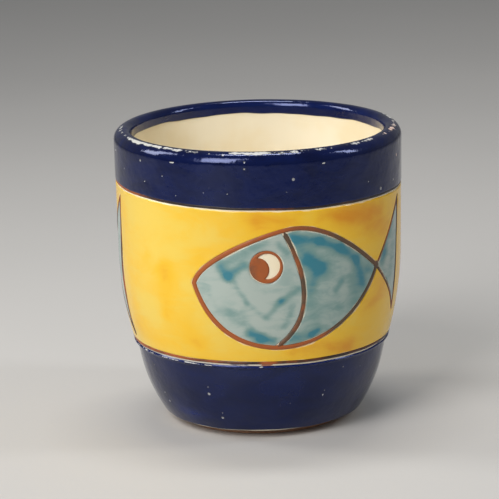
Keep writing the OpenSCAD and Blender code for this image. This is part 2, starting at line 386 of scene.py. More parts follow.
def quads_of(patch, first):
    """Corner numbers of a patch's quads, counted from first, turned so that they face out of the wall."""
    rows, across = patch["points"].shape[:2]
    number = first + np.arange(rows * across).reshape(rows, across)
    if patch["rows"]:
        number = np.concatenate([number, number[:1]])
    if patch["across"]:
        number = np.concatenate([number, number[:, :1]], 1)
    quads = np.stack([number[:-1, :-1], number[1:, :-1], number[1:, 1:], number[:-1, 1:]], -1)
    return quads[~patch["drop"]] if patch["drop"] is not None else quads.reshape(-1, 4)


def weld(name, points, quads):
    """Merges corners that fall together, so a row of equal points becomes a pole and its quads become
    triangles, and makes sure that the faces close on themselves. Gives the numbers of the points that are
    used, the corners of all faces one after another, and where each face starts."""
    _, first, merged = np.unique(np.round(points * WELD_STEPS).astype(np.int64), axis=0, return_index=True,
                                 return_inverse=True)
    quads = merged.reshape(-1)[quads]
    keep = quads != np.roll(quads, 1, axis=1)
    broken = (keep.sum(1) < 3) | (quads[:, 0] == quads[:, 2]) | (quads[:, 1] == quads[:, 3])
    quads, keep = quads[~broken], keep[~broken]
    used, corners = np.unique(quads[keep], return_inverse=True)
    corners = corners.reshape(-1)
    sides = keep.sum(1)
    starts = np.concatenate([[0], np.cumsum(sides)[:-1]])
    following = np.arange(len(corners)) + 1
    following[starts + sides - 1] = starts
    edges = np.sort(np.stack([corners, corners[following]], 1), axis=1)
    counts = np.unique(edges, axis=0, return_counts=True)[1]
    if not np.all(counts == 2):
        raise RuntimeError(f"{name} is not closed: {np.sum(counts != 2)} loose edges")
    return first[used], corners, starts


def make_piece(name, patches, material, node):
    """Joins patches into one closed mesh in metres and hangs it on the cup in place of its CAD node."""
    firsts = np.cumsum([0] + [p["points"].shape[0] * p["points"].shape[1] for p in patches])
    points = np.concatenate([p["points"].reshape(-1, 3) for p in patches])
    quads = np.concatenate([quads_of(p, f) for p, f in zip(patches, firsts)])
    used, corners, starts = weld(name, points, quads)
    mesh = bpy.data.meshes.new(name)
    mesh.vertices.add(len(used))
    mesh.vertices.foreach_set("co", (points[used] * MM).astype(np.float32).ravel())
    mesh.loops.add(len(corners))
    mesh.loops.foreach_set("vertex_index", corners.astype(np.int32))
    mesh.polygons.add(len(starts))
    mesh.polygons.foreach_set("loop_start", starts.astype(np.int32))
    mesh.polygons.foreach_set("use_smooth", np.ones(len(starts), bool))
    mesh.update(calc_edges=True)
    for field in patches[0]["fields"]:
        values = np.concatenate([np.broadcast_to(p["fields"][field], p["points"].shape[:2]).ravel()
                                 for p in patches])
        layer = mesh.attributes.new(field, "FLOAT", "POINT")
        layer.data.foreach_set("value", values[used].astype(np.float32))
    mesh.materials.append(material)
    piece = bpy.data.objects.new(name, mesh)
    bpy.context.scene.collection.objects.link(piece)
    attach(piece, "root")
    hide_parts(node)


def rolled(depth, edge):
    """Depth of a painted glaze, rolled down into the coat over ROLL from its border."""
    return depth + (PAINT_EDGE - depth) * (1 - ease(edge / ROLL)) ** 2


def ring_of_glaze(wall, turn, start, end, rows, top_depth, seed, bumps):
    """A band of glaze round the cup between two distances along the wall line, which may differ by
    azimuth. Its top is even but for ripples and rolls down into the coat at both edges; its underside
    lies in the coat. Gives the points, the distance of each along the line, and from the nearer edge."""
    v = spread(rows, 0.8)
    run = start[:, None] + (end - start)[:, None] * v
    edge = np.minimum(run - start[:, None], end[:, None] - run)
    depth = rolled(top_depth + ripple(turn[:, None], run, seed, bumps), edge)
    w = np.linspace(1, 0, max(8, rows // 5))
    back = start[:, None] + (end - start)[:, None] * w
    points = np.concatenate([wall.turned(turn[:, None], run, depth),
                             wall.turned(turn[:, None], back, PAINT_UNDER)], 1)
    run = np.concatenate([run, back], 1)
    return points, run, np.minimum(run - start[:, None], end[:, None] - run)


# ---- the fish drawing, in arc length along the wall (towards +X) and height, in mm ----

NOSE = np.array([-21.2, 28.0])
CROWN = np.array([-3.9, 37.1])
BELLY = np.array([-6.0, 17.1])
JOINT = np.array([12.2, 28.6])
BACK_CURVE = np.array([NOSE, NOSE + (1.2, 4.2), CROWN - (4.6, 0), CROWN, CROWN + (5.5, 0),
                       JOINT + (-4.3, 3.35), JOINT])
BELLY_CURVE = np.array([NOSE, NOSE + (3.6, -9.4), BELLY - (4.2, 0), BELLY, BELLY + (8.1, 0),
                        JOINT + (-2.95, -5.4), JOINT])
GILL_CURVE = np.array([(-6.5, 37.4), (-2.95, 31.0), (0.3, 22.1), (-7.8, 16.6)])
EYE = np.array([-9.0, 31.0])
TAIL_TOP = np.array([20.7, 38.6])
MIDDLE = 27.5
# azimuth of the middle, length and height against the front fish, and the tail's lower tip
FISH_PLACE = {
    "front": (24.0, 1.0, 1.0, (18.8, 19.4)),
    "back": (227.0, 1.2, 1.08, (18.8, 16.7)),
}


def trace(curve, steps=40):
    """Points along a chain of cubic curves that share their ends."""
    t = np.linspace(0, 1, steps, endpoint=False)[:, None]
    runs = [cubic(t, *curve[i:i + 4]) for i in range(0, len(curve) - 3, 3)]
    return np.concatenate(runs + [curve[-1:]])


def straight(start, end, count=40):
    """Even points from start to end."""
    return np.linspace(start, end, count)


def left_of(line, closed=False):
    """Unit normals to the left of an open or closed line, lengthened at corners so that both sides keep
    their distance (a mitre, at most 1.8 times)."""
    if closed:
        before, after = line - np.roll(line, 1, axis=0), np.roll(line, -1, axis=0) - line
    else:
        step = np.diff(line, axis=0)
        before, after = np.concatenate([step[:1], step]), np.concatenate([step, step[-1:]])
    before = before / np.linalg.norm(before, axis=1)[:, None]
    after = after / np.linalg.norm(after, axis=1)[:, None]
    middle = before + after
    middle /= np.linalg.norm(middle, axis=1)[:, None]
    mitre = 1 / np.maximum((middle * after).sum(1), 0.55)
    return np.stack([-middle[:, 1], middle[:, 0]], 1) * mitre[:, None]


def shift(line, amount, closed=False):
    """A line moved to its left by amount, a number or one number for each point."""
    return line + left_of(line, closed) * np.reshape(amount, (-1, 1))


def crossing(one, two):
    """Where two lines cross first, as a point number with its fraction on each."""
    a, b = one[:-1, None], np.diff(one, axis=0)[:, None]
    c, d = two[None, :-1], np.diff(two, axis=0)[None]
    cross = b[..., 0] * d[..., 1] - b[..., 1] * d[..., 0]
    cross = np.where(np.abs(cross) < 1e-12, 1e-12, cross)
    gap = c - a
    t = (gap[..., 0] * d[..., 1] - gap[..., 1] * d[..., 0]) / cross
    u = (gap[..., 0] * b[..., 1] - gap[..., 1] * b[..., 0]) / cross
    hit = np.argwhere((t >= 0) & (t <= 1) & (u >= 0) & (u <= 1))
    if len(hit) == 0:
        raise RuntimeError("two lines of the fish drawing do not cross")
    i, j = hit[0]
    return i + t[i, j], j + u[i, j]


def cut(line, start, end):
    """The part of a line between two point numbers with fractions, evenly spaced."""
    number = np.arange(len(line))
    at = np.linspace(start, end, max(3, int(abs(end - start)) + 2))
    return np.stack([np.interp(at, number, line[:, 0]), np.interp(at, number, line[:, 1])], 1)


class FishDrawing:
    """The lines of one fish and how they lie on the wall."""

    def __init__(self, which, brush, wall):
        azimuth, self.long, self.high, tail_low = FISH_PLACE[which]
        self.seed = 11 + 40 * FISH.index(which)
        self.wall = wall
        self.azimuth = np.radians(azimuth)
        self.belly_radius = wall.radius(30.0)
        self.back = trace(self.fit(BACK_CURVE))
        self.belly = trace(self.fit(BELLY_CURVE))
        self.gill = trace(self.fit(GILL_CURVE))
        self.eye = self.fit(EYE)
        self.joint = self.fit(JOINT)
        top, low = self.fit(TAIL_TOP), self.fit(tail_low)
        self.tail_upper = straight(self.joint, top)
        self.tail_edge = straight(top, low)
        self.tail_lower = trace(np.array([self.joint, self.joint + (2.2, -2.6), low + (-1.5, 4.6), low]))
        self.lap = brush.lap / MM
        self.outline = brush.outline / MM
        self.tail_line = brush.tail_line / MM
        self.knot = brush.knot / MM
        self.eye_radius = brush.eye / MM
        self.unsteady = brush.unsteady

    def fit(self, points):
        """The drawing's points sized for this fish."""
        points = np.asarray(points, float)
        return np.stack([points[..., 0] * self.long, MIDDLE + (points[..., 1] - MIDDLE) * self.high], -1)

    def unfit(self, points):
        """Points of this fish back in the front fish's sizes."""
        return points[..., 0] / self.long, MIDDLE + (points[..., 1] - MIDDLE) / self.high

    def turn(self, points):
        """Azimuth of points of the drawing: the flat view across the fish is laid on the round wall."""
        across = self.belly_radius * np.sin(points[..., 0] / self.belly_radius)
        return self.azimuth + np.arcsin(np.clip(across / self.wall.radius(points[..., 1]), -1, 1))

    def on_wall(self, points, depth):
        """Points of the drawing on the wall."""
        return self.wall.painted(self.turn(points), points[..., 1], depth)

    def past_knot(self, line, reach):
        """Number of the first point of a line that is further than reach from the knot's middle."""
        return np.argmax(np.linalg.norm(line - self.joint, axis=1) > reach)

    def hand(self, count, part, size):
        """Slow random change along a line, for an unsteady brush."""
        turn = np.linspace(0, np.pi, count)
        return waver(turn, self.seed + part, size * self.unsteady)


def stroke(fish, line, width, closed, part, loaded=0.25):
    """A brush stroke: a low dome carried along a line, wider and narrower as the hand wavers. Across it
    the depth grows from nothing in the middle with the fourth power of the distance, down into the coat
    at the edges; open ends are rounded off over one width."""
    count = len(line)
    half = width / 2 * (1 + fish.hand(count, part, 0.09))
    settle = 1 if closed else ease(np.arange(count) / 4)
    middle = shift(line, fish.hand(count, part + 1, 0.035) * settle, closed)
    if not closed:
        walked = np.concatenate([[0], np.cumsum(np.linalg.norm(np.diff(line, axis=0), axis=1))])
        to_end = np.minimum(walked, walked[-1] - walked)
        half = half * np.sqrt(1 - (1 - np.clip(to_end / (width / 2), 0, 1)) ** 2)
    x = np.array([1, 0.93, 0.8, 0.6, 0.35, 0.1, -0.1, -0.35, -0.6, -0.8, -0.93, -1])
    side = left_of(middle, closed)[:, None] * half[:, None, None]
    over = middle[:, None] + side * x[None, :, None]
    depth = PAINT_EDGE * np.abs(x) ** 4
    under = middle[:, None] + side * x[None, ::-3, None]
    points = np.concatenate([fish.on_wall(over, depth), fish.on_wall(under, PAINT_UNDER)], 1)
    load = loaded + 0.5 * ease((line[:, 0] / fish.long + 9) / 16) + fish.hand(count, part + 2, 0.26)
    return sheet(points[:, ::-1], wrap_rows=closed, wrap_across=True, load=load[:, None])


def spot(fish, centre, radius, top, part):
    """A round blob: rings from its middle out to a wavering edge, domed, closed underneath."""
    turn = np.linspace(0, -TURN, 48, endpoint=False)
    t = np.concatenate([np.linspace(0, 1, 10), [0.5, 0]])
    reach = radius * (1 + waver(turn, fish.seed + part, 0.05, (2, 3, 5)))
    flat = centre + (reach[:, None] * t)[..., None] * np.stack([np.cos(turn), np.sin(turn)], 1)[:, None]
    depth = np.where(np.arange(len(t)) < 10, top + (PAINT_EDGE - top) * t ** 3, PAINT_UNDER)
    return sheet(fish.on_wall(flat, depth), load=0.8)


def wash(fish, border, inner, seed, marks, base):
    """A pool of glaze inside a closed border, ruled from the border in to one inner point, or to a ring of
    as many points as the border has. It is proud in the middle and rolls down into the coat at its edges."""
    holed = np.ndim(inner) == 2
    inner = np.broadcast_to(inner, border.shape)
    t, back = 1 - (1 - np.linspace(0, 1, 40)) ** 1.5, np.linspace(1, 0, 6)
    flat = inner[:, None] + (border - inner)[:, None] * t[None, :, None]
    spots = flat.reshape(-1, 2)
    edge = distance_to(spots, np.concatenate([border, border[:1]]))
    if holed:
        edge = np.minimum(edge, distance_to(spots, np.concatenate([inner, inner[:1]])))
    edge = edge.reshape(flat.shape[:2])
    depth = rolled(WASH_TOP + ripple(fish.turn(flat), flat[..., 1], seed, 0.012), edge)
    under = inner[:, None] + (border - inner)[:, None] * back[None, :, None]
    points = np.concatenate([fish.on_wall(flat, depth), fish.on_wall(under, PAINT_UNDER)], 1)
    shade = base + dabs(*fish.unfit(flat), marks)
    hidden = np.zeros((len(border), len(back)))
    return sheet(points, wrap_across=holed, edge=np.concatenate([edge, hidden], 1),
                 shade=np.concatenate([shade, hidden], 1))


# loaded strokes of turquoise: two ends, width and strength, in the front fish's sizes
HEAD_MARKS = [
    (-16.4, 31.0, -15.3, 29.4, 0.8, 0.75), (-15.3, 29.5, -12.6, 31.4, 0.75, 0.6),
    (-14.6, 29.0, -12.2, 25.2, 0.55, 0.3), (-12.2, 25.2, -9.4, 22.6, 0.6, 0.25),
    (-15.0, 23.4, -12.8, 22.2, 1.3, 0.3), (-11.3, 19.9, -9.7, 18.9, 0.95, 0.95),
    (-9.6, 18.8, -7.6, 18.5, 0.6, 0.7), (-3.8, 27.0, -6.6, 25.3, 0.65, 0.5),
    (-6.6, 25.3, -8.8, 22.6, 0.65, 0.42), (-4.6, 24.2, -5.9, 20.8, 0.7, 0.25),
    (-15.2, 32.0, -9.0, 35.2, 0.7, 0.25), (-6.9, 34.6, -5.6, 33.2, 0.7, 0.4),
    (-19.2, 28.2, -17.0, 24.0, 0.9, 0.12),
]
BODY_MARKS = [
    (-5.0, 35.6, 0.0, 34.7, 0.8, 0.62), (0.0, 34.7, 3.8, 33.0, 0.75, 0.62),
    (3.8, 33.0, 7.1, 30.6, 0.8, 0.65), (7.1, 30.6, 8.7, 26.0, 0.9, 0.5),
    (-4.6, 34.8, -3.4, 33.8, 1.0, 0.4), (-2.2, 31.9, 0.4, 30.2, 1.25, 0.75),
    (-0.4, 30.2, -1.7, 26.8, 0.9, 0.45), (2.9, 26.1, 4.0, 27.4, 0.5, 0.35),
    (7.3, 28.5, 6.8, 22.5, 1.7, 0.25), (-6.0, 18.6, -1.4, 18.9, 0.75, 0.45),
    (-1.2, 19.1, -0.2, 19.6, 0.55, 0.75), (-2.0, 25.0, -0.4, 21.5, 1.2, 0.15),
    (1.5, 24.0, 4.0, 22.6, 1.3, 0.12), (9.6, 28.6, 10.6, 28.2, 0.7, 0.3),
]
TAIL_MARKS = [
    (13.8, 29.0, 14.8, 30.2, 0.9, 0.55), (14.6, 30.2, 17.6, 34.6, 0.7, 0.3),
    (17.0, 26.0, 17.6, 31.0, 0.9, 0.15), (19.2, 36.8, 19.9, 37.4, 0.7, 0.3),
]
# pools of orange (positive) and thin places (negative) in the yellow: azimuths in degrees, heights in mm
YELLOW_MARKS = [
    (0, 38.6, 14, 37.9, 2.0, 0.42), (25, 38.2, 36, 38.0, 1.8, 0.3), (43, 38.2, 54, 37.4, 2.0, 0.3),
    (-40, 30.0, -38, 28.4, 1.8, 0.22), (-42, 29.0, -41, 23.0, 1.6, 0.16),
    (-41, 22.0, -26, 17.4, 1.6, 0.24), (-64, 17.4, -40, 16.4, 1.9, 0.2),
    (-63, 26.0, -61, 18.0, 2.6, 0.12), (14, 16.4, 40, 15.9, 1.8, 0.36), (50, 21.5, 60, 24.0, 2.4, 0.26),
    (34, 37.5, 62, 34.0, 3.0, 0.22), (-25, 37.4, -5, 38.4, 2.0, 0.1), (-43, 33.0, -36, 32.7, 2.2, -0.26),
    (-57, 22.0, -52, 21.4, 2.4, -0.2), (-34, 36.0, -18, 36.6, 2.6, -0.12),
    (-24, 23.0, -18, 19.5, 1.8, -0.16), (-62, 37.0, -50, 38.5, 2.4, -0.16),
    (-31, 28.4, -29, 26.5, 1.6, -0.14), (96, 37.0, 112, 35.0, 2.3, 0.3), (88, 20.0, 104, 17.0, 2.2, 0.32),
    (100, 28.0, 112, 25.0, 2.6, -0.2), (118, 31.0, 126, 23.0, 2.0, 0.22),
    (130, 38.6, 150, 38.9, 1.8, 0.3), (136, 17.2, 156, 16.2, 1.9, 0.26), (205, 39.2, 222, 39.2, 1.6, 0.3),
    (228, 39.0, 246, 38.4, 2.0, 0.26), (240, 16.4, 262, 17.2, 2.0, 0.32),
    (262, 36.6, 272, 38.4, 2.0, 0.3), (170, 37.2, 184, 38.6, 2.2, -0.16),
    (262, 22.0, 270, 19.6, 2.0, -0.16),
]


# ---- shader nodes ----


def join(tree, value, socket):
    """Links a socket to an input, or sets the input to a value."""
    if isinstance(value, bpy.types.NodeSocket):
        tree.links.new(value, socket)
    else:
        socket.default_value = value


def put(tree, kind, *inputs, named=None, **settings):
    """Adds a node. Inputs are sockets or values, given in order or as a dictionary by name."""
    node = tree.nodes.new(kind)
    for key, value in settings.items():
        setattr(node, key, value)
    for key, value in [*enumerate(inputs), *(named or {}).items()]:
        join(tree, value, node.inputs[key])
    return node


def sum_of(tree, kind, *inputs):
    """A Math node's value."""
    return put(tree, "ShaderNodeMath", *inputs, operation=kind).outputs[0]


def times(tree, value, factor):
    """value * factor."""
    return sum_of(tree, "MULTIPLY", value, factor)


def plus(tree, base, value, factor):
    """base + factor * value."""
    return sum_of(tree, "MULTIPLY_ADD", value, factor, base)


def vary(tree, base, value, amount):
    """base + amount * (value - 0.5), for a noise that averages a half."""
    return plus(tree, base, sum_of(tree, "SUBTRACT", value, 0.5), amount)


def blend(tree, share, one, two):
    """A mix of two colours by a share from 0 to 1."""
    mix = put(tree, "ShaderNodeMix", data_type="RGBA", clamp_factor=True)
    for number, value in ((0, share), (6, one), (7, two)):
        if not isinstance(value, bpy.types.NodeSocket) and hasattr(value, "__len__"):
            value = (*value, 1)
        join(tree, value, mix.inputs[number])
    return mix.outputs[2]


def between(tree, value, low, high, start=0.0, end=1.0):
    """A value mapped smoothly from low..high to start..end."""
    ramp = put(tree, "ShaderNodeMapRange", value, low, high, start, end, interpolation_type="SMOOTHSTEP")
    return ramp.outputs[0]


def field(tree, name):
    """A field written on the mesh."""
    return put(tree, "ShaderNodeAttribute", attribute_type="GEOMETRY", attribute_name=name).outputs["Fac"]


def noise(tree, vector, scale, detail=2.0, roughness=0.5, distortion=0.0):
    """Noise as a value; scale in waves to the metre."""
    settings = {"Scale": scale, "Detail": detail, "Roughness": roughness, "Distortion": distortion}
    return put(tree, "ShaderNodeTexNoise", vector, named=settings).outputs["Fac"]


def new_group(name, output, **inputs):
    """An empty shader node group with a vector input, Place, number inputs with their defaults, and one
    output. Gives its tree, the inputs inside it and its output."""
    tree = bpy.data.node_groups.new(name, "ShaderNodeTree")
    tree.interface.new_socket("Place", in_out="INPUT", socket_type="NodeSocketVector")
    for socket, default in inputs.items():
        made = tree.interface.new_socket(socket, in_out="INPUT", socket_type="NodeSocketFloat")
        made.default_value = default
    tree.interface.new_socket(output, in_out="OUTPUT", socket_type="NodeSocketFloat")
    return tree, tree.nodes.new("NodeGroupInput").outputs, tree.nodes.new("NodeGroupOutput").inputs[output]


def use_group(tree, name, place, **named):
    """The output of a node group placed in a material, at a place, with its other inputs by name."""
    node = put(tree, "ShaderNodeGroup", node_tree=bpy.data.node_groups[name])
    for key, value in {"Place": place, **named}.items():
        join(tree, value, node.inputs[key])
    return node.outputs[0]


def build_glaze_skin():
    """Uneven gloss: slow waves with a fine orange peel."""
    tree, given, result = new_group("glaze_skin", "Height", Wave=160.0, Peel=900.0)
    waves = noise(tree, given["Place"], given["Wave"], 2.0)
    peel = noise(tree, given["Place"], given["Peel"], 3.0)
    join(tree, plus(tree, waves, peel, 0.22), result)


def build_pinholes():
    """Round holes of mixed sizes in a share of the cells of a Voronoi pattern."""
    tree, given, result = new_group("pinholes", "Mask", Scale=700.0, Share=0.04, Size=0.25)
    cells = put(tree, "ShaderNodeTexVoronoi", named={"Vector": given["Place"], "Scale": given["Scale"]})
    pick = put(tree, "ShaderNodeSeparateColor", cells.outputs["Color"])
    chosen = sum_of(tree, "LESS_THAN", pick.outputs[0], given["Share"])
    reach = times(tree, given["Size"], plus(tree, 0.25, pick.outputs[1], 0.75))
    inside = sum_of(tree, "SUBTRACT", reach, cells.outputs["Distance"])
    join(tree, times(tree, chosen, between(tree, inside, 0.0, 0.08)), result)


def build_brush_streaks():
    """Streaks that a brush leaves as it goes round the cup, shorter in height by Lengthen."""
    tree, given, result = new_group("brush_streaks", "Streak", Scale=220.0, Lengthen=4.0)
    stretch = put(tree, "ShaderNodeCombineXYZ", 1.0, 1.0, given["Lengthen"]).outputs[0]
    along = put(tree, "ShaderNodeVectorMath", given["Place"], stretch, operation="MULTIPLY").outputs[0]
    join(tree, between(tree, noise(tree, along, given["Scale"], 4.0, 0.6, 0.5), 0.3, 0.7), result)


def build_worn_edge():
    """Ragged wear where Nearness, roughened by noise, passes about a half."""
    tree, given, result = new_group("worn_edge", "Mask", Nearness=0.0, Scale=900.0, Ragged=0.8)
    rough = noise(tree, given["Place"], given["Scale"], 5.0, 0.62)
    join(tree, between(tree, vary(tree, given["Nearness"], rough, given["Ragged"]), 0.46, 0.56), result)


# ---- finishes; scales are in waves to the metre, reliefs in metres ----


def new_material(name):
    """A material with a Principled shader. Gives the material, its tree, the shader and Object
    coordinates."""
    material = bpy.data.materials.new(f"painted_{name}")
    material.use_nodes = True
    tree = material.node_tree
    shader = tree.nodes["Principled BSDF"]
    place = tree.nodes.new("ShaderNodeTexCoord").outputs["Object"]
    return material, tree, shader, place


def finish_surface(tree, shader, colour_socket, roughness, height, relief):
    """Joins colour, roughness and a bump of the given relief in metres to the shader."""
    join(tree, colour_socket, shader.inputs["Base Color"])
    join(tree, roughness, shader.inputs["Roughness"])
    bump = put(tree, "ShaderNodeBump", named={"Distance": relief, "Height": height, "Strength": 1.0})
    join(tree, bump.outputs[0], shader.inputs["Normal"])


def cobalt_glaze(colours):
    """Deep blue gloss, brighter where thin, with white pinholes and worn to the white body at its edges,
    which also carries the painted highlights on the crown and the step.
    """
    material, tree, shader, place = new_material("cobalt_glaze")
    streak = use_group(tree, "brush_streaks", place, Scale=150.0, Lengthen=2.0)
    thin = plus(tree, times(tree, streak, 0.3), field(tree, "thin"), 0.9)
    glaze = blend(tree, thin, colours.cobalt, colours.cobalt_bright)
    small = use_group(tree, "pinholes", place, Scale=900.0, Share=0.045, Size=0.3)
    large = use_group(tree, "pinholes", place, Scale=320.0, Share=0.03, Size=0.16)
    holes = sum_of(tree, "MAXIMUM", small, large)
    glaze = blend(tree, times(tree, holes, 0.55), glaze, colours.chip_and_highlight)
    # the wear mask also paints white highlights on the crown and the step, not only real wear
    worn_and_highlight = use_group(tree, "worn_edge", place, Nearness=field(tree, "wear"), Scale=900.0, Ragged=1.1)
    body = blend(tree, field(tree, "pink"), colours.chip_and_highlight, colours.chip_pink)
    glaze = blend(tree, worn_and_highlight, glaze, body)
    roughness = plus(tree, plus(tree, 0.08, streak, 0.06), worn_and_highlight, 0.3)
    skin = use_group(tree, "glaze_skin", place, Wave=260.0, Peel=1300.0)
    pitted = times(tree, sum_of(tree, "MAXIMUM", worn_and_highlight, holes), 0.9)
    finish_surface(tree, shader, glaze, roughness, sum_of(tree, "SUBTRACT", skin, pitted), 0.00014)
    shader.inputs["IOR"].default_value = COBALT_IOR
    shader.inputs["Specular Tint"].default_value = COBALT_SHEEN
    return material


def wash_glaze(name, colours, shades, streak_scale, streak_share):
    """A painted wash of three colours from thin to loaded, streaked by the brush, paler along its border
    where the coat shows through."""
    material, tree, shader, place = new_material(name)
    thin, full, loaded = shades
    streak = use_group(tree, "brush_streaks", place, Scale=streak_scale, Lengthen=2.2)
    load = vary(tree, field(tree, "shade"), streak, streak_share)
    load = vary(tree, load, noise(tree, place, 120.0, 3.0, 0.55), 0.4)
    glaze = blend(tree, between(tree, load, 0.0, 0.55), thin, full)
    glaze = blend(tree, between(tree, load, 0.45, 1.05), glaze, loaded)
    ragged = plus(tree, field(tree, "edge"), noise(tree, place, 500.0, 3.0), -0.6)
    glaze = blend(tree, between(tree, ragged, -0.34, -0.08, 0.75, 0.0), glaze, colours.cream_pale)
    holes = use_group(tree, "pinholes", place, Scale=300.0, Share=0.006, Size=0.12)
    glaze = blend(tree, times(tree, holes, 0.7), glaze, colours.chip_and_highlight)
    skin = use_group(tree, "glaze_skin", place, Wave=240.0, Peel=1000.0)
    height = sum_of(tree, "SUBTRACT", skin, holes)
    finish_surface(tree, shader, glaze, plus(tree, 0.13, streak, 0.06), height, 0.00005)
    return material


def yellow_glaze(colours):
    """Yellow wash of the band."""
    shades = (colours.yellow_pale, colours.yellow, colours.orange)
    return wash_glaze("yellow_glaze", colours, shades, 130.0, 0.25)


def turquoise_glaze(colours):
    """Turquoise wash of the fish."""
    shades = (colours.turquoise_pale, colours.turquoise, colours.turquoise_deep)
    return wash_glaze("turquoise_glaze", colours, shades, 230.0, 0.26)


def line_paint(name, light, dark, rough):
    """Dry brown oxide of the brush lines: matte, grainy, darker where the brush was loaded."""
    material, tree, shader, place = new_material(name)
    grain = noise(tree, place, 1500.0, 4.0, 0.6)
    load = vary(tree, field(tree, "load"), noise(tree, place, 260.0, 3.0), 1.1)
    load = vary(tree, load, grain, 0.5)
    paint = blend(tree, between(tree, load, 0.2, 1.0), light, dark)
    finish_surface(tree, shader, paint, plus(tree, rough, grain, 0.25), grain, 0.00005)
    return material


def rust_line_glaze(colours):
    """Rust brown of the fish outlines."""
    return line_paint("rust_line_glaze", colours.rust, colours.rust_dark, 0.35)


def dark_line_glaze(colours):
    """Near black of the two lines round the cup, rust where it is thin."""
    return line_paint("dark_line_glaze", colours.rust, colours.line_dark, 0.3)


def cream_glaze(colours):
    """Cream coat: gloss over a warm white, a little cloudy, with a few iron specks and thin blue and rust
    smears where the painted glazes ran into it, and white at its edges that is partly a painted highlight
    on the ledge above the step."""
    material, tree, shader, place = new_material("cream_glaze")
    cloud = noise(tree, place, 90.0, 3.0, 0.55)
    coat = blend(tree, between(tree, cloud, 0.35, 0.65), colours.cream, colours.cream_pale)
    specks = use_group(tree, "pinholes", place, Scale=260.0, Share=0.01, Size=0.09)
    blue = use_group(tree, "worn_edge", place, Nearness=field(tree, "blue_smear"), Scale=500.0, Ragged=0.8)
    rust = use_group(tree, "worn_edge", place, Nearness=field(tree, "rust_smear"), Scale=600.0, Ragged=0.6)
    # edge white: where the coat thins at its foot edge, and a painted highlight along the ledge above the
    # step
    stains = [(field(tree, "edge_white"), 0.75, colours.chip_and_highlight), (specks, 0.5, colours.rust),
              (blue, 0.8, colours.cobalt_bright), (rust, 0.85, colours.rust)]
    for mask, strength, stain in stains:
        coat = blend(tree, times(tree, mask, strength), coat, stain)
    skin = use_group(tree, "glaze_skin", place, Wave=120.0, Peel=800.0)
    finish_surface(tree, shader, coat, plus(tree, 0.12, cloud, 0.08), skin, 0.00006)
    return material


def fired_clay(colours):
    """Bare fired clay: rough, grainy, with turning marks round the axis."""
    material, tree, shader, place = new_material("fired_clay")
    grain = noise(tree, place, 1800.0, 5.0, 0.65)
    cloud = noise(tree, place, 180.0, 3.0)
    axis = put(tree, "ShaderNodeSeparateXYZ", place)
    squares = [times(tree, axis.outputs[i], axis.outputs[i]) for i in (0, 1)]
    reach = sum_of(tree, "SQRT", sum_of(tree, "ADD", *squares))
    marks = sum_of(tree, "SINE", plus(tree, times(tree, reach, 9000.0), cloud, 2.5))
    marks = plus(tree, 0.5, marks, 0.5)
    shade = plus(tree, times(tree, marks, 0.25), grain, 0.7)
    clay = blend(tree, between(tree, shade, 0.25, 0.75), colours.clay_dark, colours.clay)
    pits = use_group(tree, "pinholes", place, Scale=900.0, Share=0.12, Size=0.3)
    clay = blend(tree, times(tree, pits, 0.6), clay, colours.clay_dark)
    height = sum_of(tree, "SUBTRACT", plus(tree, grain, marks, 0.5), pits)
    finish_surface(tree, shader, clay, plus(tree, 0.7, grain, 0.2), height, 0.00012)
    return material


# the finish of each material slot
FINISHES = {
    "fired_clay": fired_clay,
    "cream_glaze": cream_glaze,
    "cobalt_glaze": cobalt_glaze,
    "dark_line_glaze": dark_line_glaze,
    "yellow_glaze": yellow_glaze,
    "rust_line_glaze": rust_line_glaze,
    "turquoise_glaze": turquoise_glaze,
}


def material_of(slot, colours):
    """The finish for a material slot, made the first time that it is asked for."""
    made = bpy.data.materials.get(f"painted_{slot}")
    if made:
        return made
    if "glaze_skin" not in bpy.data.node_groups:
        for build in (build_glaze_skin, build_pinholes, build_brush_streaks, build_worn_edge):
            build()
    return FINISHES[slot](colours)


# ---- heights of the edges round the cup ----


def upper_line_height(turn, brush):
    """Middle of the line under the rim: a level ring that drops a little towards +X, wavering."""
    level = (brush.upper_line + brush.ring_line / 2) / MM
    return level - 0.25 - 0.6 * np.sin(turn) + waver(turn, 5, 0.06 * brush.unsteady)


def lower_line_height(turn, brush):
    """Middle of the line above the step, wavering."""
    level = (brush.lower_line + brush.ring_line / 2) / MM
    return level + waver(turn, 6, 0.05 * brush.unsteady)


def ring_line(wall, turn, height, width, seed, load):
    """A dark line round the cup: a low dome carried round at a wavering height and width."""
    half = width / 2 * (1 + waver(turn, seed, 0.12, (3, 7, 12, 19, 31, 47)))
    x = np.array([-1, -0.93, -0.75, -0.5, -0.2, 0.2, 0.5, 0.75, 0.93, 1])
    depth = np.concatenate([LINE_TOP + (PAINT_EDGE - LINE_TOP) * np.abs(x) ** 4, [PAINT_UNDER] * 4])
    x = np.concatenate([x, [0.8, 0.3, -0.3, -0.8]])
    points = wall.painted(turn[:, None], height[:, None] + half[:, None] * x, depth)
    return sheet(points, wrap_across=True, load=load[:, None])


# rows along the lens of an eye
LENS_ROWS = 49
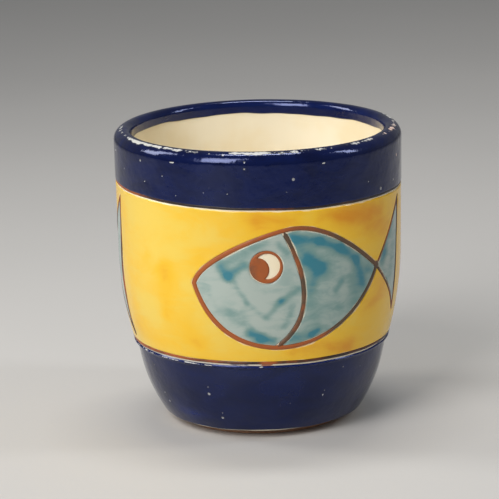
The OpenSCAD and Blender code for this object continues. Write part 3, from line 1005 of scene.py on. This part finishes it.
# white chips in the blue: azimuth in degrees, height, length round the cup, width and strength, in mm
RIM_MARKS = [
    (-35, 47.6, 0.9, 0.3, 0.9), (-66, 44.7, 0.3, 0.22, 0.8), (-50, 43.7, 0.2, 0.3, 0.8),
    (-34, 42.2, 0.2, 0.2, 0.7), (26, 47.4, 0.3, 0.3, 0.9), (72, 45.5, 0.1, 0.42, 0.9),
    (8, 44.8, 0.1, 0.16, 0.7), (-12, 43.1, 0.3, 0.14, 0.6), (48, 43.0, 0.2, 0.16, 0.7),
    (-78, 46.8, 0.5, 0.3, 0.8), (120, 46.2, 0.4, 0.25, 0.8), (165, 44.0, 0.2, 0.3, 0.8),
    (200, 47.0, 0.6, 0.25, 0.8), (238, 43.4, 0.3, 0.2, 0.8),
]
FOOT_MARKS = [
    (30, 7.5, 0.1, 0.3, 0.9), (-20, 9.4, 0.1, 0.16, 0.7), (-58, 6.5, 0.2, 0.2, 0.7),
    (52, 11.1, 0.1, 0.18, 0.8), (8, 4.4, 0.2, 0.13, 0.6), (110, 8.0, 0.2, 0.25, 0.8),
    (190, 5.2, 0.3, 0.2, 0.8), (250, 10.4, 0.1, 0.3, 0.8),
]


def blue_marks(degrees, height, here, marks):
    """Sum of the chips at each point of a blue band, where here is true: a bell curve of the distance
    to each."""
    total = np.zeros_like(height)
    for azimuth, level, long, width, strength in marks:
        away = ((degrees[:, None] - azimuth + 180) % 360 - 180) * MM_PER_DEGREE + 0 * height
        total += dabs(away, height, [(-long / 3, level, long / 3, level, 0.7 * width, strength)])
    return total * here


def even_turns(count):
    """Azimuths round the cup, in radians."""
    return np.linspace(0, TURN, count, endpoint=False)


def bell(turn, middle, width):
    """A bell curve round the cup about an azimuth, both in degrees."""
    return bell_of((np.degrees(turn) - middle + 180) % 360 - 180, width)


# ---- operators: one for each piece or group of like pieces ----


class CUP_OT_clay_body(bpy.types.Operator):
    """Turn the fired clay body with its bare foot ring"""

    bl_idname = "cup.clay_body"
    bl_label = "Clay body"

    def execute(self, context):
        scene = context.scene
        wall = WallLine(scene.cup_size)
        turn = even_turns(288)
        ring, inner = wall.ring, wall.ring - scene.cup_size.ring_width / MM
        flat, soft = 0.95, 0.18
        under = np.concatenate([
            np.linspace((0, flat), (inner - 0.3, flat), 30),
            arc((inner - 0.3, flat - 0.3), 0.3, 90, 0),
            arc((inner + soft, soft), soft, 180, 270),
            arc((ring - soft, soft), soft, 270, 360),
            np.linspace((ring, 0.5), (ring, 0.8), 4),
            [(ring + 0.12, flat - 0.02)],
        ])
        visible = np.linspace(wall.run[0] + 0.35, wall.outside(2.6), 30)
        hidden = np.linspace(wall.outside(2.6), wall.end, 130)[1:]
        run = np.concatenate([visible, hidden])
        r, z = wall.section(run, CLAY_TOP)
        r = np.concatenate([under[:, 0], r])
        z = np.concatenate([under[:, 1], z])
        uneven = 1 + np.where(z < 3, 1, 0) * waver(turn, 21, 0.0012)[:, None]
        points = np.stack([r * uneven * np.sin(turn)[:, None], -r * uneven * np.cos(turn)[:, None],
                           np.broadcast_to(z, (len(turn), len(z)))], -1)
        points[:, 0] = (0, 0, flat)
        points[:, -1] = (0, 0, z[-1])
        make_piece("clay_cup", [sheet(points)], material_of("fired_clay", scene.cup_colours), "clay_body")
        return {"FINISHED"}


class CUP_OT_cream_coat(bpy.types.Operator):
    """Coat the clay in cream, inside, over the lip and down to the foot"""

    bl_idname = "cup.cream_coat"
    bl_label = "Cream coat"

    def execute(self, context):
        scene = context.scene
        wall = WallLine(scene.cup_size)
        turn = even_turns(360)
        low = wall.outside(scene.cup_size.coat_low / MM + waver(turn, 31, 0.09))
        v = np.concatenate([spread(14, 1.0)[:-1] * 0.02, np.linspace(0.02, 1, 150)])
        run = low[:, None] + (wall.end - low)[:, None] * v
        depth = COAT_TOP + ripple(turn[:, None], run, 32, 0.012) * ease((wall.end - run) / 6)
        depth = depth + (CLAY_TOP + 0.03 - depth) * (1 - ease((run - low[:, None]) / 0.35)) ** 2
        back = np.linspace(1, 0, 60)
        under = low[:, None] + (wall.end - low)[:, None] * back
        fade = np.where(back > 0.02, COAT_UNDER, CLAY_TOP + 0.05)
        points = np.concatenate([wall.turned(turn[:, None], run, depth),
                                 wall.turned(turn[:, None], under, fade)], 1)
        run = np.concatenate([run, under], 1)
        # the thin edge of cream on the ledge above the step, with what ran into it; its white is partly a
        # painted highlight, brightest towards the left (-50 degrees)
        ledge = bell_of(run - wall.step_run - 0.75, 0.35)
        ledge_white_and_highlight = ledge * (0.35 + 0.65 * bell(turn, -50, 45))[:, None]
        smear = 0.25 + 0.5 * bell(turn, 75, 55) + 0.3 * bell(turn, -10, 12) + 0.4 * bell(turn, 200, 60)
        smear = ledge * (smear + waver(turn, 33, 0.1, (9, 14, 23, 31)))[:, None]
        rust = ledge * (1.1 * bell(turn, 2, 3.0))[:, None]
        foot_edge = 1 - ease((run - low[:, None]) / 0.8)
        coat = sheet(points, wrap_across=True, edge_white=np.maximum(ledge_white_and_highlight, foot_edge), blue_smear=smear,
                     rust_smear=rust)
        finish = material_of("cream_glaze", scene.cup_colours)
        make_piece("cream_coat", [coat], finish, "cream_glaze")
        return {"FINISHED"}


class CUP_OT_blue_bands(bpy.types.Operator):
    """Dip the rim and paint the foot in blue"""

    bl_idname = "cup.blue_bands"
    bl_label = "Blue rim and foot"

    def execute(self, context):
        size, brush = context.scene.cup_size, context.scene.cup_brush
        finish = material_of("cobalt_glaze", context.scene.cup_colours)
        wall = WallLine(size)
        turn = even_turns(480)
        for name, node, band in (("rim_blue", "rim_blue_glaze", self.rim(wall, turn, size, brush)),
                                 ("foot_blue", "foot_blue_glaze", self.foot(wall, turn, size, brush))):
            make_piece(name, [band], finish, node)
        return {"FINISHED"}

    @staticmethod
    def rim(wall, turn, size, brush):
        """From the dark line up over the lip and a little way down inside, with its crown worn in broken
        lengths and chips that hang down from it. The white on the crown is also a painted highlight,
        stronger towards the front and the front left."""
        start = wall.outside(upper_line_height(turn, brush) + 0.05)
        depth_in = 2.35 + waver(turn, 41, 0.14, (3, 4, 7, 11, 17, 26))
        end = wall.inside(size.height / MM - depth_in)
        points, run, edge = ring_of_glaze(wall, turn, start, end, 84, 0.0, 42, 0.012)
        tilt = wall.tilt(run)
        height = wall.section(run, 0)[1]
        # real wear and chips, plus painted highlight: more white towards the front (cosine) and at the front
        # left (-42 degrees)
        worn_and_highlight = (0.4 + 0.08 * np.cos(turn) + 0.22 * bell(turn, 74, 16) + 0.2 * bell(turn, -42, 26)
                + waver(turn, 44, 0.2, (4, 7, 13, 29, 43, 61)))
        wear = bell_of(tilt - 70, 20) * worn_and_highlight[:, None]
        hanging = bell_of(tilt - 42, 24) * (0.12 + waver(turn, 45, 0.2, (23, 37, 51, 67, 83)))[:, None]
        outside = run < wall.run[wall.top]
        wear = np.maximum(wear, hanging) + blue_marks(np.degrees(turn), height, outside, RIM_MARKS)
        pink = np.clip(bell(turn, 74, 14) + 0.6 * bell(turn, 130, 8) + 0.5 * bell(turn, 250, 10), 0, 1)
        thin = bell_of(edge, 0.3) * 0.25 + 0.3 * ease((tilt - 120) / 50)
        return sheet(points, wrap_across=True, wear=wear, pink=pink[:, None], thin=thin)

    @staticmethod
    def foot(wall, turn, size, brush):
        """From just above the bare clay up over the step, worn in places along it, with a thin smear. The
        white along the step is also a painted highlight, more at the left and less at the right.
        """
        low = size.coat_low / MM + 0.38 + 0.25 * (1 - np.cos(turn)) / 2 + waver(turn, 51, 0.07)
        high = lower_line_height(turn, brush) - (brush.ring_line / 2 + 2 * brush.lap) / MM
        high = high + waver(turn, 52, 0.05, (4, 9, 15, 24, 38))
        points, run, edge = ring_of_glaze(wall, turn, wall.outside(low), wall.outside(high), 80, 0.01, 53,
                                          0.014)
        height = wall.section(run, 0)[1]
        # real wear along the step, plus painted highlight: more white at the left (-50 degrees), less at the
        # right (70 degrees)
        worn_and_highlight = (0.36 + 0.2 * bell(turn, -50, 40) - 0.1 * bell(turn, 70, 40)
                + waver(turn, 54, 0.14, (11, 19, 31, 47)))
        wear = bell_of(height - 13.75, 0.14) * worn_and_highlight[:, None]
        wear = wear + blue_marks(np.degrees(turn), height, True, FOOT_MARKS)
        smear = np.exp(-(((np.degrees(turn)[:, None] - 318) / 9) ** 2 + ((height - 3.9) / 0.9) ** 2))
        thin = bell_of(edge, 0.3) * 0.3 + 0.7 * smear + 0.5 * bell_of(height - 13.6, 0.35)
        return sheet(points, wrap_across=True, wear=wear, pink=0.0, thin=thin)


class CUP_OT_ring_lines(bpy.types.Operator):
    """Draw the two dark lines round the cup"""

    bl_idname = "cup.ring_lines"
    bl_label = "Dark lines"

    def execute(self, context):
        scene = context.scene
        brush = scene.cup_brush
        wall = WallLine(scene.cup_size)
        turn = even_turns(720)
        paint = material_of("dark_line_glaze", scene.cup_colours)
        dark = 0.95 - 0.75 * bell(turn, -72, 26) + waver(turn, 61, 0.12)
        upper = ring_line(wall, turn, upper_line_height(turn, brush), brush.ring_line / MM, 62, dark)
        make_piece("upper_dark_line", [upper], paint, "upper_line")
        dark = 0.9 - 0.6 * bell(turn, -65, 38) - 0.9 * bell(turn, 2, 3) + waver(turn, 63, 0.12)
        lower = ring_line(wall, turn, lower_line_height(turn, brush), brush.ring_line / MM, 64, dark)
        make_piece("lower_dark_line", [lower], paint, "lower_line")
        return {"FINISHED"}


def fish_window(fish):
    """The bare patch round a fish: the azimuths of its two ends, and its upper and its lower border, each
    as lines of azimuths and heights in rising azimuth."""
    body, tail, knot = fish.outline / 2 - fish.lap, fish.tail_line / 2 - fish.lap, fish.knot - fish.lap
    a = np.radians(np.linspace(180, 0, 40))
    over_knot = fish.joint + knot * np.stack([np.cos(a), np.sin(a)], 1)
    under_knot = fish.joint + knot * np.stack([np.cos(a), -np.sin(a)], 1)
    tip = fish.tail_edge[0] + (tail, 0.1)
    edge = shift(fish.tail_edge[::-1], -tail)
    upper = [shift(fish.back, body), over_knot, np.concatenate([shift(fish.tail_upper, tail), [tip]])]
    lower = [shift(fish.belly, -body), under_knot,
             np.concatenate([shift(fish.tail_lower, -tail)[:-1], edge, [tip]])]
    upper, lower = [[(fish.turn(line), line[:, 1]) for line in lines] for lines in (upper, lower)]
    return (upper[0][0][0], upper[2][0][-1]), upper, lower


def band_turns(windows):
    """Azimuths of the band's columns: even ones, and ones that follow the fish windows closely."""
    columns = [even_turns(420)]
    for ends, upper, lower in windows:
        columns += [np.linspace(*ends, 160), lower[2][0], upper[1][0], np.array(ends)]
    turn = np.unique(np.round(np.concatenate(columns) % TURN, 7))
    return turn[np.concatenate([[True], np.diff(turn) > 2e-4])]


def middle_heights(turn, windows):
    """Height of the line that joins the tip of each tail to the nose of the next fish."""
    meets = []
    for ends, upper, lower in windows:
        meets += [(ends[0] % TURN, (upper[0][1][0] + lower[0][1][0]) / 2), (ends[1] % TURN, upper[2][1][-1])]
    at, level = np.array(sorted(meets)).T
    return np.interp(turn, np.concatenate([at - TURN, at, at + TURN]), np.tile(level, 3))


def window_heights(turn, ends, upper, lower):
    """Which columns a fish window crosses, and the heights of its top and bottom at each column."""
    here, width = (turn - ends[0]) % TURN, (ends[1] - ends[0]) % TURN
    high, low = [pick.reduce([np.interp(here, np.maximum.accumulate(line_turn - ends[0]), line_height,
                                        left=np.nan, right=np.nan) for line_turn, line_height in lines])
                 for pick, lines in ((np.fmax, upper), (np.fmin, lower))]
    return (here > 1e-6) & (here < width - 1e-6) & (high > low), high, low


def nearest_line(turn, height, lines):
    """Distance on the wall from each point of the band to the nearest border line of a fish."""
    flat = np.stack([np.broadcast_to(turn[:, None], height.shape) * BAND_RADIUS, height], -1).reshape(-1, 2)
    gaps = [distance_to(flat, np.stack([(line_turn + lap) * BAND_RADIUS, line_height], 1))
            for line_turn, line_height in lines for lap in (-TURN, 0, TURN)]
    return np.min(gaps, axis=0).reshape(height.shape)


def yellow_load_and_painted_light(turn, height):
    """How loaded the yellow is: a slow change round the cup, which is partly painted light and shade,
    and the marks.
    """
    degrees = np.degrees(turn)
    deg = (degrees + 180) % 360 - 180
    # more orange towards the right side is partly painted shade; paler yellow at the left (-50 degrees) is
    # partly painted light
    shade = 0.34 + 0.2 * ease((deg - 20) / 60) * ease((120 - deg) / 30) - 0.1 * bell(turn, -50, 25)
    shade = shade[:, None] + 0 * height
    for start, low, end, high, width, strength in YELLOW_MARKS:
        away = ((degrees - start + 180) % 360 - 180) * MM_PER_DEGREE
        away = np.broadcast_to(away[:, None], height.shape)
        shade += dabs(away, height, [(0, low, (end - start) * MM_PER_DEGREE, high, width, strength)])
    return shade


class CUP_OT_yellow_band(bpy.types.Operator):
    """Fill the band round the fish with yellow glaze"""

    bl_idname = "cup.yellow_band"
    bl_label = "Yellow band"

    def execute(self, context):
        scene = context.scene
        brush = scene.cup_brush
        wall = WallLine(scene.cup_size)
        windows = [fish_window(FishDrawing(which, brush, wall)) for which in FISH]
        turn = band_turns(windows)
        over = middle_heights(turn, windows)
        below = over.copy()
        open_here = np.zeros(len(turn), bool)
        for window in windows:
            here, high, low = window_heights(turn, *window)
            over[here], below[here] = high[here], low[here]
            open_here |= here
        lines = [line for _, upper, lower in windows for line in upper + lower]
        top = upper_line_height(turn, brush) - (brush.ring_line / 2 + brush.bare) / MM
        bottom = lower_line_height(turn, brush) + (brush.ring_line / 2 - brush.lap) / MM
        v, back = spread(34, 0.85), np.linspace(1, 0, 5)
        hidden = np.zeros((len(turn), len(back)))
        # away from the fish the two halves are one sheet, so the walls between them are left out
        whole = ~(open_here | np.roll(open_here, -1))
        patches = []
        for low_side, high_side, seam in ((bottom, below, len(v) - 1), (over, top, -1)):
            height = low_side[:, None] + (high_side - low_side)[:, None] * v
            edge = np.minimum(top[:, None] - height, height - bottom[:, None])
            edge = np.minimum(edge, nearest_line(turn, height, lines))
            depth = rolled(WASH_TOP + ripple(turn[:, None], height, 71, 0.012), edge)
            under = low_side[:, None] + (high_side - low_side)[:, None] * back
            points = np.concatenate([wall.painted(turn[:, None], height, depth),
                                     wall.painted(turn[:, None], under, PAINT_UNDER)], 1)
            drop = np.zeros(points.shape[:2], bool)
            drop[:, seam] = whole
            shade = np.concatenate([yellow_load_and_painted_light(turn, height), hidden], 1)
            patches.append(sheet(points, wrap_across=True, drop=drop, shade=shade,
                                 edge=np.concatenate([edge, hidden], 1)))
        finish = material_of("yellow_glaze", scene.cup_colours)
        make_piece("yellow_band", patches, finish, "yellow_glaze")
        return {"FINISHED"}


def circle(centre, radius, turn):
    """Points of a circle at the given angles."""
    return centre + radius * np.stack([np.cos(turn), np.sin(turn)], 1)


def eye_patches(fish):
    """The eye: a brown disc with a crescent left open, which is what an outer circle has outside an inner
    one. The disc outside the outer circle is a ring of rows; the lens where both circles overlap is ruled
    between its two arcs, and shares the ring's corners."""
    radius = fish.eye_radius
    outer, inner = radius * 0.75, radius * 0.73
    a_at, b_at = radius * np.array([0.05, 0.045]), radius * np.array([-0.54, -0.15])
    gap = b_at - a_at
    apart = np.hypot(*gap)
    along = (apart ** 2 + outer ** 2 - inner ** 2) / (2 * apart)
    toward = np.arctan2(gap[1], gap[0])
    half_a, half_b = np.arccos(along / outer), np.arccos((apart - along) / inner)
    lens = np.linspace(toward + half_a, toward - half_a, LENS_ROWS)
    rest = np.linspace(toward - half_a, toward + half_a - TURN, 65)[1:-1]
    a_ring = circle(a_at, outer, np.concatenate([lens, rest]))
    edge_turn = np.arctan2(a_ring[:, 1], a_ring[:, 0])
    reach = radius * (1 + waver(edge_turn, fish.seed + 7, 0.012, (2, 3, 5)))
    border = circle(0, reach[:, None], edge_turn)
    b_arc = circle(b_at, inner, np.linspace(toward + np.pi - half_b, toward + np.pi + half_b, LENS_ROWS))
    if np.linalg.norm(b_arc[0] - a_ring[0]) > np.linalg.norm(b_arc[-1] - a_ring[0]):
        b_arc = b_arc[::-1]
    open_line = np.concatenate([b_arc, a_ring[LENS_ROWS - 1:], a_ring[:1]])
    border_line = np.concatenate([border, border[:1]])
    in_lens = np.arange(len(a_ring)) < LENS_ROWS - 1
    t = spread(12, 0.8)
    patches = []
    # the two patches meet along the lens's outer arc, where each leaves out its wall
    for near, far, wrap, seam, shared in ((a_ring, border, True, -1, in_lens),
                                          (b_arc, a_ring[:LENS_ROWS], False, len(t) - 1, True)):
        flat = near[:, None] + (far - near)[:, None] * t[None, :, None]
        spots = flat.reshape(-1, 2)
        edge = np.minimum(distance_to(spots, open_line), distance_to(spots, border_line))
        depth = PAINT_EDGE * (1 - ease(edge.reshape(flat.shape[:2]) / 0.2)) ** 2
        under = near[:, None] + (far - near)[:, None] * np.array([1, 0])[None, :, None]
        points = np.concatenate([fish.on_wall(flat + fish.eye, depth),
                                 fish.on_wall(under + fish.eye, PAINT_UNDER)], 1)
        drop = np.zeros((len(near) - (not wrap), points.shape[1]), bool)
        drop[:, seam] = shared
        patches.append(sheet(points, wrap_rows=wrap, wrap_across=True, drop=drop, load=0.35))
    return patches


class CUP_OT_fish_lines(bpy.types.Operator):
    """Draw the outlines, gills, tails and eyes of both fish in brown"""

    bl_idname = "cup.fish_lines"
    bl_label = "Fish outlines"

    def execute(self, context):
        scene = context.scene
        wall = WallLine(scene.cup_size)
        paint = material_of("rust_line_glaze", scene.cup_colours)
        for which in FISH:
            fish = FishDrawing(which, scene.cup_brush, wall)
            for part, node, patches in (("outline", "outline", self.outline(fish)),
                                        ("gill", "gill_line", self.gill(fish)),
                                        ("eye", "eye", eye_patches(fish)),
                                        ("tail_outline", "tail_outline", self.tail(fish))):
                make_piece(f"{which}_{part}", patches, paint, f"{which}_fish_{node}")
        return {"FINISHED"}

    @staticmethod
    def outline(fish):
        """One closed stroke round head and body, and the blob where the tail starts."""
        loop = np.concatenate([fish.back[:-1], fish.belly[::-1][:-1]])
        return [stroke(fish, loop, fish.outline, True, 1), spot(fish, fish.joint, fish.knot, 0.0, 4)]

    @staticmethod
    def gill(fish):
        """A darker stroke from outline to outline, with its ends under them."""
        inner = fish.outline / 4
        top, _ = crossing(fish.gill, shift(fish.back, -inner))
        low, _ = crossing(fish.gill, shift(fish.belly, inner))
        return [stroke(fish, cut(fish.gill, top, low), fish.outline, False, 7, 0.7)]

    @staticmethod
    def tail(fish):
        """One thin stroke out from the knot, down the tail's edge and back to the knot."""
        upper, lower = fish.tail_upper, fish.tail_lower
        first, last = fish.past_knot(upper, fish.knot * 0.6), fish.past_knot(lower, fish.knot * 0.6)
        line = np.concatenate([upper[first:], fish.tail_edge[1:], lower[last:-1][::-1]])
        return [stroke(fish, line, fish.tail_line, False, 10)]


class CUP_OT_fish_washes(bpy.types.Operator):
    """Fill the heads, bodies and tails of both fish with turquoise"""

    bl_idname = "cup.fish_washes"
    bl_label = "Fish colours"

    def execute(self, context):
        scene = context.scene
        wall = WallLine(scene.cup_size)
        paint = material_of("turquoise_glaze", scene.cup_colours)
        for which in FISH:
            fish = FishDrawing(which, scene.cup_brush, wall)
            for part, patch in (("head", self.head(fish)), ("body", self.body(fish)),
                                ("tail", self.tail(fish))):
                # the borders run clockwise as seen from outside, so the rows are turned round to face out
                patch["points"] = patch["points"][::-1]
                patch["fields"] = {name: values[::-1] for name, values in patch["fields"].items()}
                make_piece(f"{which}_{part}", [patch], paint, f"{which}_fish_{part}")
        return {"FINISHED"}

    @staticmethod
    def set_in(fish, line, width, side, part):
        """The border of a wash along a brush line of the given width: it runs in under the line by the lap,
        but for a little where the brush did not reach. side is -1 to the right of the line, 1 to the left."""
        return shift(line, side * (width / 2 - fish.lap + np.abs(fish.hand(len(line), part, 0.07))))

    def head(self, fish):
        """From the nose to the gill, round the eye."""
        back = self.set_in(fish, fish.back, fish.outline, -1, 20)
        belly = self.set_in(fish, fish.belly, fish.outline, 1, 21)
        gill = self.set_in(fish, fish.gill, fish.outline, -1, 22)
        nose_up, nose_low = crossing(back, belly)
        back_at, gill_top = crossing(back, gill)
        belly_at, gill_low = crossing(belly, gill)
        border = np.concatenate([cut(back, nose_up, back_at)[:-1], cut(gill, gill_top, gill_low)[:-1],
                                 cut(belly, belly_at, nose_low)[:-1]])
        away = border - fish.eye
        ring = fish.eye + away / np.linalg.norm(away, axis=1)[:, None] * (fish.eye_radius - fish.lap)
        return wash(fish, border, ring, fish.seed + 30, HEAD_MARKS, 0.07)

    def body(self, fish):
        """From the gill to the knot."""
        back = self.set_in(fish, fish.back, fish.outline, -1, 20)
        belly = self.set_in(fish, fish.belly, fish.outline, 1, 21)
        gill = self.set_in(fish, fish.gill, fish.outline, 1, 23)
        back_at, gill_top = crossing(back, gill)
        belly_at, gill_low = crossing(belly, gill)
        reach = fish.knot - fish.lap
        back_end = np.argmax(np.linalg.norm(back - fish.joint, axis=1) < reach)
        belly_end = np.argmax(np.linalg.norm(belly - fish.joint, axis=1) < reach)
        border = np.concatenate([cut(back, back_at, back_end), cut(belly, belly_end, belly_at)[:-1],
                                 cut(gill, gill_low, gill_top)[:-1]])
        return wash(fish, border, fish.fit((3.0, 24.6)), fish.seed + 31, BODY_MARKS, 0.3)

    def tail(self, fish):
        """From the knot to the tail's edge."""
        upper = self.set_in(fish, fish.tail_upper, fish.tail_line, -1, 24)
        edge = self.set_in(fish, fish.tail_edge, fish.tail_line, -1, 25)
        lower = self.set_in(fish, fish.tail_lower, fish.tail_line, 1, 26)
        upper_at, edge_top = crossing(upper, edge)
        lower_at, edge_low = crossing(lower, edge)
        reach = fish.knot - fish.lap
        upper_start, lower_start = fish.past_knot(upper, reach), fish.past_knot(lower, reach)
        border = np.concatenate([cut(upper, upper_start, upper_at)[:-1], cut(edge, edge_top, edge_low)[:-1],
                                 cut(lower, lower_at, lower_start)])
        return wash(fish, border, border.mean(0), fish.seed + 32, TAIL_MARKS, 0.2)


class CUP_OT_stage(bpy.types.Operator):
    """Set the floor, the soft lights and the camera"""

    bl_idname = "cup.stage"
    bl_label = "Stage"

    def execute(self, context):
        scene = context.scene
        setup = scene.cup_stage
        self.floor(scene, setup)
        self.lights(scene, setup)
        self.camera(scene)
        scene.view_settings.view_transform = "Standard"
        scene.view_settings.look = "None"
        return {"FINISHED"}

    def floor(self, scene, setup):
        """A round pale floor: rings of points from the middle out, at table height."""
        turn = even_turns(64)
        reach = np.array([0.001, 0.03, 0.1, 0.4, 3.0])
        points = np.stack([np.sin(turn)[:, None] * reach, -np.cos(turn)[:, None] * reach,
                           np.zeros((len(turn), len(reach)))], -1)
        quads = quads_of(sheet(points), 0)[:, ::-1]
        middle = np.arange(len(turn)) * len(reach)
        mesh = bpy.data.meshes.new("floor")
        mesh.from_pydata(points.reshape(-1, 3).tolist(), [], quads.tolist() + [middle.tolist()])
        material, tree, shader, place = new_material("pale_floor")
        cloud = noise(tree, place, 14.0, 4.0)
        lighter = [min(1.0, c * 1.05) for c in setup.floor]
        paper = blend(tree, cloud, tuple(setup.floor), lighter)
        grain = noise(tree, place, 900.0, 3.0)
        finish_surface(tree, shader, paper, plus(tree, 0.5, cloud, 0.1), grain, 0.00002)
        mesh.materials.append(material)
        floor = bpy.data.objects.new("floor", mesh)
        scene.collection.objects.link(floor)

    def lights(self, scene, setup):
        """Soft boxes round the cup, each aimed at the lip: azimuth and elevation in degrees, distance
        and size in metres, beam in degrees, and power."""
        boxes = [
            ("key", -34, 34, 0.55, (0.26, 0.42), 80, setup.key, (1.0, 0.97, 0.95)),
            ("left", -99, 34, 0.55, (0.14, 0.3), 70, setup.left, (1.0, 0.98, 0.95)),
            ("right", 84, 34, 0.55, (0.08, 0.26), 70, setup.right, (0.95, 0.97, 1.0)),
            ("top", 180, 80, 0.6, (0.3, 0.08), 120, setup.top, (1.0, 1.0, 1.0)),
        ]
        for name, azimuth, elevation, distance, size, beam, power, tint in boxes:
            data = bpy.data.lights.new(f"{name}_light", "AREA")
            data.shape = "RECTANGLE"
            data.size, data.size_y = size
            data.spread = np.radians(beam)
            data.energy = power
            data.color = tint
            light = bpy.data.objects.new(f"{name}_light", data)
            a, e = np.radians(azimuth), np.radians(elevation)
            out = np.array([np.sin(a) * np.cos(e), -np.cos(a) * np.cos(e), np.sin(e)])
            side = np.array([np.cos(a), np.sin(a), 0])
            up = np.cross(out, side)
            turned = Matrix([[*row] for row in np.stack([side, up, out], 1)]).to_4x4()
            turned.translation = (out * distance + LIGHT_AIM).tolist()
            light.matrix_world = turned
            scene.collection.objects.link(light)
        world = bpy.data.worlds.new("room")
        world.use_nodes = True
        world.node_tree.nodes["Background"].inputs["Color"].default_value = (0.9, 0.92, 0.95, 1)
        world.node_tree.nodes["Background"].inputs["Strength"].default_value = setup.world
        scene.world = world

    def camera(self, scene):
        """A long lens at table distance, looking down a little."""
        pitch, yaw, roll = CAMERA_TURN
        forward = np.array([np.sin(yaw) * np.cos(pitch), np.cos(yaw) * np.cos(pitch), -np.sin(pitch)])
        right = np.array([np.cos(yaw), -np.sin(yaw), 0.0])
        up = np.cross(right, forward)
        level = np.stack([np.cos(roll) * right + np.sin(roll) * up,
                          -np.sin(roll) * right + np.cos(roll) * up, -forward], 1)
        data = bpy.data.cameras.new("camera")
        data.sensor_width = 36.0
        data.lens = CAMERA_LENS
        data.clip_start, data.clip_end = 0.01, 20.0
        camera = bpy.data.objects.new("camera", data)
        placed = Matrix([[*row] for row in level]).to_4x4()
        placed.translation = CAMERA_AT
        camera.matrix_world = placed
        scene.collection.objects.link(camera)
        scene.camera = camera


class CUP_PT_sidebar(bpy.types.Panel):
    """Sizes, colours and steps of the painted cup"""

    bl_idname = "CUP_PT_sidebar"
    bl_label = "Painted shot cup"
    bl_space_type = "VIEW_3D"
    bl_region_type = "UI"
    bl_category = "Cup"

    def draw(self, context):
        layout = self.layout
        for group in (context.scene.cup_size, context.scene.cup_brush, context.scene.cup_colours,
                      context.scene.cup_stage):
            box = layout.box()
            for name in group.__annotations__:
                box.prop(group, name)
        for operator in OPERATORS:
            layout.operator(operator.bl_idname)


GROUPS = {"cup_size": CupSize, "cup_brush": BrushSize, "cup_colours": GlazeColours, "cup_stage": StageSetup}
OPERATORS = (CUP_OT_clay_body, CUP_OT_cream_coat, CUP_OT_blue_bands, CUP_OT_ring_lines, CUP_OT_yellow_band,
             CUP_OT_fish_lines, CUP_OT_fish_washes, CUP_OT_stage)


def register():
    for group in GROUPS.values():
        bpy.utils.register_class(group)
    for name, group in GROUPS.items():
        setattr(bpy.types.Scene, name, PointerProperty(type=group))
    for operator in OPERATORS:
        bpy.utils.register_class(operator)
    bpy.utils.register_class(CUP_PT_sidebar)


def unregister():
    bpy.utils.unregister_class(CUP_PT_sidebar)
    for operator in reversed(OPERATORS):
        bpy.utils.unregister_class(operator)
    for name, group in GROUPS.items():
        delattr(bpy.types.Scene, name)
        bpy.utils.unregister_class(group)


def main():
    """Registers the tools and runs each step."""
    register()
    for operator in OPERATORS:
        group, name = operator.bl_idname.split(".")
        if getattr(getattr(bpy.ops, group), name)() != {"FINISHED"}:
            raise RuntimeError(f"{operator.bl_label} did not finish")


if __name__ == "__main__":
    main()
